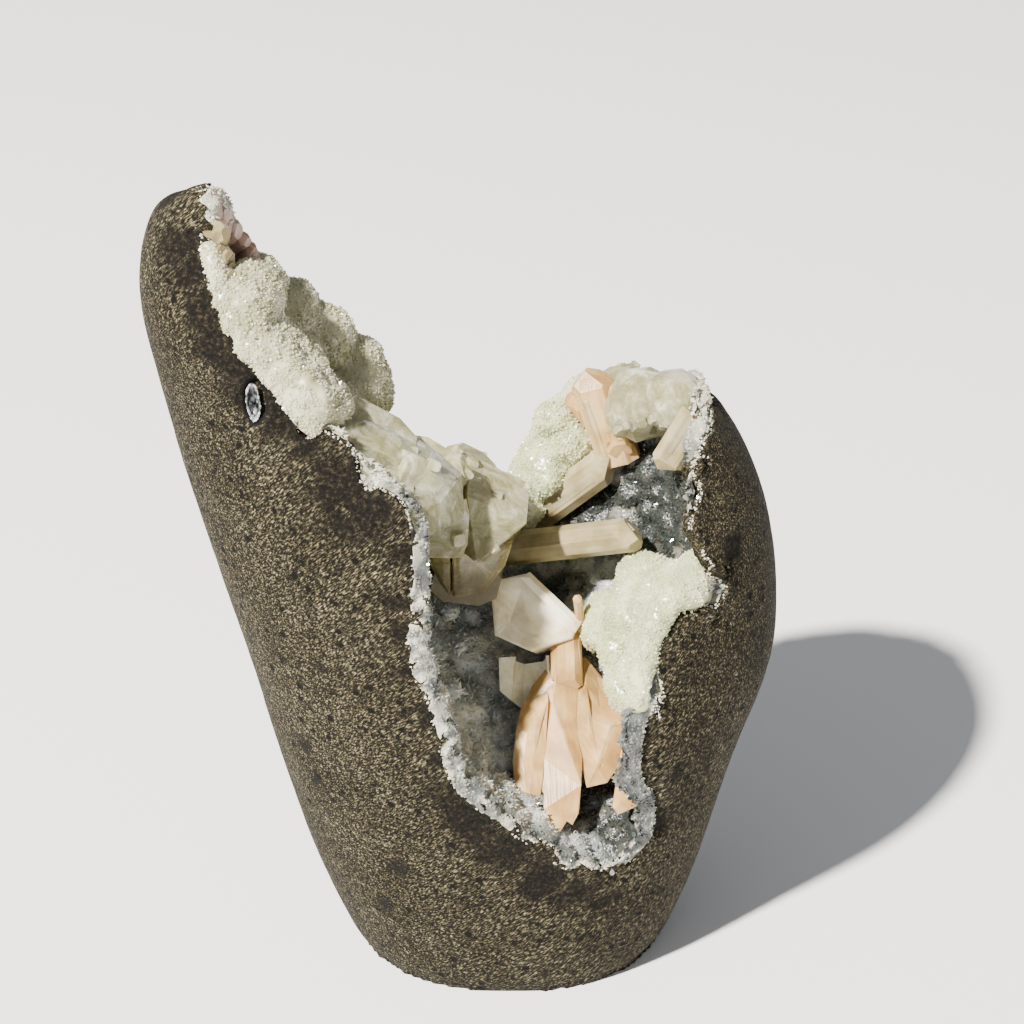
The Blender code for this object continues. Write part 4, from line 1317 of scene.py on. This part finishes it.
# The cream shade is painted light: the block lies in the cluster's shade and is coloured paler, as
# if lit.
cream = pearly("cream stilbite", "#cdbd98", "#e4d8ba", "#f4ecd8")
grey = pearly("grey stilbite", "#786b4a", "#918460", "#ab9e7a")
rosy = pearly("rosy stilbite", "#9c7a68", "#b8988a", "#d0baac")
print("four shades of stilbite")

# %% [markdown]
# The sheaf in front is three wide crystals side by side, with a fourth behind them that closes
# the gaps, and two plain blades at its head.  Each wide one is given by the outline of its front
# face, because such a face is seen whole, and it is carried back into the stone from there.

# %% The sheaf
VIEWER = (0.0, -0.88, 0.47)
SHEAF_BLADES = [((9.6, -3, 66), (10, -14, 55), 5.6, 4.6, VIEWER),
                ((13, -5, 62), (11.6, -9, 73.4), 1.6, 1.6, VIEWER)]
LEFT_FACE = [(0.8, -17.7, 51.1), (4.1, -15.8, 53.3), (6.5, -14.4, 54.9), (5.9, -21.4, 46.7),
             (5.0, -26.1, 41.3), (4.3, -26.9, 40.4), (3.0, -27.6, 39.5), (1.8, -26.4, 40.9),
             (0.5, -25.7, 41.7), (0.1, -21.4, 46.7)]
MIDDLE_FACE = [(8.7, -7.8, 63.5), (12.3, -7.8, 63.5), (12.6, -11, 59.8), (11.6, -17.4, 52.6),
               (12.7, -22.1, 47.2), (12.6, -25.2, 43.7), (11.9, -28.6, 39.9), (10.8, -30, 38.3),
               (9.8, -29.5, 38.8), (8.5, -30.8, 37.4), (6.4, -31.6, 36.5), (5.5, -27.9, 40.7),
               (5.7, -22.1, 47.2), (7.2, -15, 55.3)]
RIGHT_FACE = [(10.6, -12.7, 56.9), (13.4, -12.5, 57.1), (15.8, -15.1, 54.2), (19.9, -16.2, 53),
              (20.8, -17.4, 51.7), (20, -20.7, 48), (18.8, -22.6, 45.8), (17, -24.4, 43.9),
              (13.3, -25, 43.2), (12.3, -22, 46.5), (10.6, -19.5, 49.3)]
HEART_FACE = [(1.6, -14, 52.4), (6, -11, 57), (10, -9.5, 60), (14, -10.5, 57.5), (18.6, -14, 53),
              (17.8, -19, 47.6), (12.6, -21.4, 45.4), (11, -25.6, 41), (6, -25.6, 41.4),
              (1.4, -21, 46)]

sheaf = grown_group(SHEAF_BLADES, 1, 61)
tablet(sheaf, HEART_FACE, (0.4, 5, 3), 1.0, 0.3)
tablet(sheaf, LEFT_FACE, (0.6, 5.6, 3.4), 1.4, 0.7)
tablet(sheaf, MIDDLE_FACE, (0, 6, 3.6), 1.0, 1.2, ridge=(1, 9))
tablet(sheaf, RIGHT_FACE, (-0.6, 6.4, 3.6), 2.2, 1.6)
dress(object_from("stilbite_sheaf_blades", sheaf), peach, "stilbite", "stilbite_sheaf",
      smooth=False)

# %% [markdown]
# A flat cream block lies above the sheaf, with a narrow plate along its back.  Its cream is paler
# than the stilbite around it, as painted light, because the cluster shades it.  Three more blocks
# of apophyllite are drawn in the same way: a big pale one that reaches from the cluster over the
# crust to the rock's edge, and two amber ones side by side under the cluster, whose dark amber is
# partly painted shade.

# %% Blocks beside the sheaf and the cluster
BLOCK_FACE = [(-4, -4, 73.6), (2.4, -2, 74.2), (12, -7, 66.8), (11, -9, 64.6), (3.4, -11.5, 63.4),
              (-3.2, -8.5, 65)]
RIDGE_FACE = [(1.4, -4, 74.4), (3.2, -3, 75), (12.6, -7.8, 67.4), (11.4, -9, 65.8)]
RIM_BLOCK = [(-30, -26.5, 114.6), (-25.6, -20, 113.8), (-20, -19, 110), (-13, -21, 104),
             (-12.6, -27, 97), (-15.6, -31.8, 97.5), (-17.4, -31.2, 102.5), (-19.5, -30.4, 104.2),
             (-23, -29.6, 105.6), (-26, -28.6, 109)]
FOOT_RIGHT = [(-10.5, -14, 86.5), (0, -12.5, 85.7), (-1.2, -12.6, 81.4), (-4.9, -13.4, 76.6),
              (-10.5, -14.4, 76.2)]
FOOT_LEFT = [(-14.6, -12.6, 86), (-10.9, -14, 86.5), (-10.9, -14.4, 76.6), (-12.6, -13.6, 78.6),
             (-14.4, -12.8, 82)]

# The block's cream is painted light, for a block that the cluster shades.
block = grown_group()
tablet(block, BLOCK_FACE, (1.5, 8, -7), 1.6, 0.5)
tablet(block, RIDGE_FACE, (1, 6, -5), 0.8, 0.6)
dress(object_from("stilbite_block", block), cream, "stilbite", "stilbite_sheaf", smooth=False)
rim_block = grown_group()
tablet(rim_block, RIM_BLOCK, (6, 6, -3), 2.0, 1.4)
dress(object_from("apophyllite_rim_block", rim_block), clear, "apophyllite", "apophyllite_cluster",
      smooth=False)
# The foot blocks' dark amber is partly stain and partly painted shade.
foot = grown_group()
tablet(foot, FOOT_RIGHT, (1, 6, 1), 1.2, 0.5)
tablet(foot, FOOT_LEFT, (2, 5, 1), 0.8, 0.4)
dress(object_from("apophyllite_foot_blocks", foot), amber_and_shade, "apophyllite", "apophyllite_cluster",
      smooth=False)

# %% [markdown]
# The other crystals stand alone or in twos and threes.  Each blade is given by its foot, its
# tip, its breadth, its thickness and the way that its broad face looks.  Thinner laths are added
# on it, because a blade of stilbite is a bundle of them, except on the clean level rod.

# %% Single blades
SINGLES = {
    "stilbite_crest": [((19.6, 9, 91.5), (13.4, 11, 109.4), 7.6, 6, (-0.3, -0.85, 0.4)),
                       ((14.6, 14, 93), (11.4, 13, 103.5), 4.8, 4.6, VIEWER),
                       ((18, 12, 104), (20.2, 6.5, 92.6), 6, 4.8, VIEWER)],
    "stilbite_hanger": [((32.4, -2.5, 106.4), (26, -4.2, 95.4), 6.0, 4.2, VIEWER)],
    "stilbite_blade": [((-1.5, 15, 72), (18.4, 6, 93.4), 6.6, 4.4, (0.25, -0.75, 0.6))],
    "stilbite_rod": [((-5, 7.5, 73.4), (23.2, -6, 84.5), 5.8, 5.6, (0, -0.7, 0.7))],
    "stilbite_stub": [((22, -24, 51), (20, -31, 40.8), 5.2, 4.4, VIEWER),
                      ((23.2, -20.5, 52), (22.4, -25.5, 46), 3.8, 3.8, VIEWER)],
}
for seed, (node, rows) in enumerate(SINGLES.items()):
    few = 1 if node == "stilbite_rod" else 4
    made = object_from(node + "_blades", grown_group(rows, few, 70 + 10 * seed))
    look = grey if node in ("stilbite_rod", "stilbite_blade", "stilbite_hanger") else peach
    dress(made, look, "stilbite", node, smooth=False)

# %% [markdown]
# A comb of short pinkish blades runs down from the horn's tip, each a little lower than the one
# before, and four greyer ones lean out in front of it.

# %% Blades at the horn's tip
TIP_BLADES = [((-52, -7, 139), (-48.8, -11, 148.8), 4.4, 3.0, VIEWER),
              ((-52, -5, 138), (-47.2, -9.5, 147.2), 3.6, 2.4, VIEWER),
              ((-51.5, -4, 137), (-46, -8.4, 145.4), 3.4, 2.2, VIEWER),
              ((-51.5, -3, 136), (-44.9, -7.4, 143.4), 3.4, 2.2, VIEWER),
              ((-51, -2, 134.6), (-43.8, -6.6, 141.2), 3.2, 2.2, VIEWER),
              ((-50.5, -1, 133), (-42.7, -5.8, 138.8), 3.2, 2.2, VIEWER),
              ((-50, -1, 131.6), (-42.2, -5.4, 137), 3.0, 2.0, VIEWER),
              ((-51.6, -8, 137), (-48.2, -13.5, 144.6), 4.8, 3.4, VIEWER),
              ((-51, -8, 134), (-46.8, -13.8, 141.4), 4.6, 3.4, VIEWER)]
TIP_FRONT = [((-49.6, -11.5, 140), (-47.4, -15.6, 146.4), 4.6, 3.4, VIEWER),
             ((-48.6, -12.5, 136.5), (-46.4, -17.2, 142.6), 4.8, 3.4, VIEWER),
             ((-47.6, -13.5, 132.6), (-45.2, -18.8, 138.8), 4.8, 3.4, VIEWER),
             ((-46.4, -14, 130), (-43.6, -18.4, 136), 4.4, 3.2, VIEWER)]

tip = object_from("stilbite_tip_blades", grown_group(TIP_BLADES, 2, 140))
dress(tip, rosy, "stilbite", "stilbite_tip", smooth=False)
tip_front = object_from("stilbite_tip_front", grown_group(TIP_FRONT, 3, 170))
dress(tip_front, grey, "stilbite", "stilbite_tip", smooth=False)
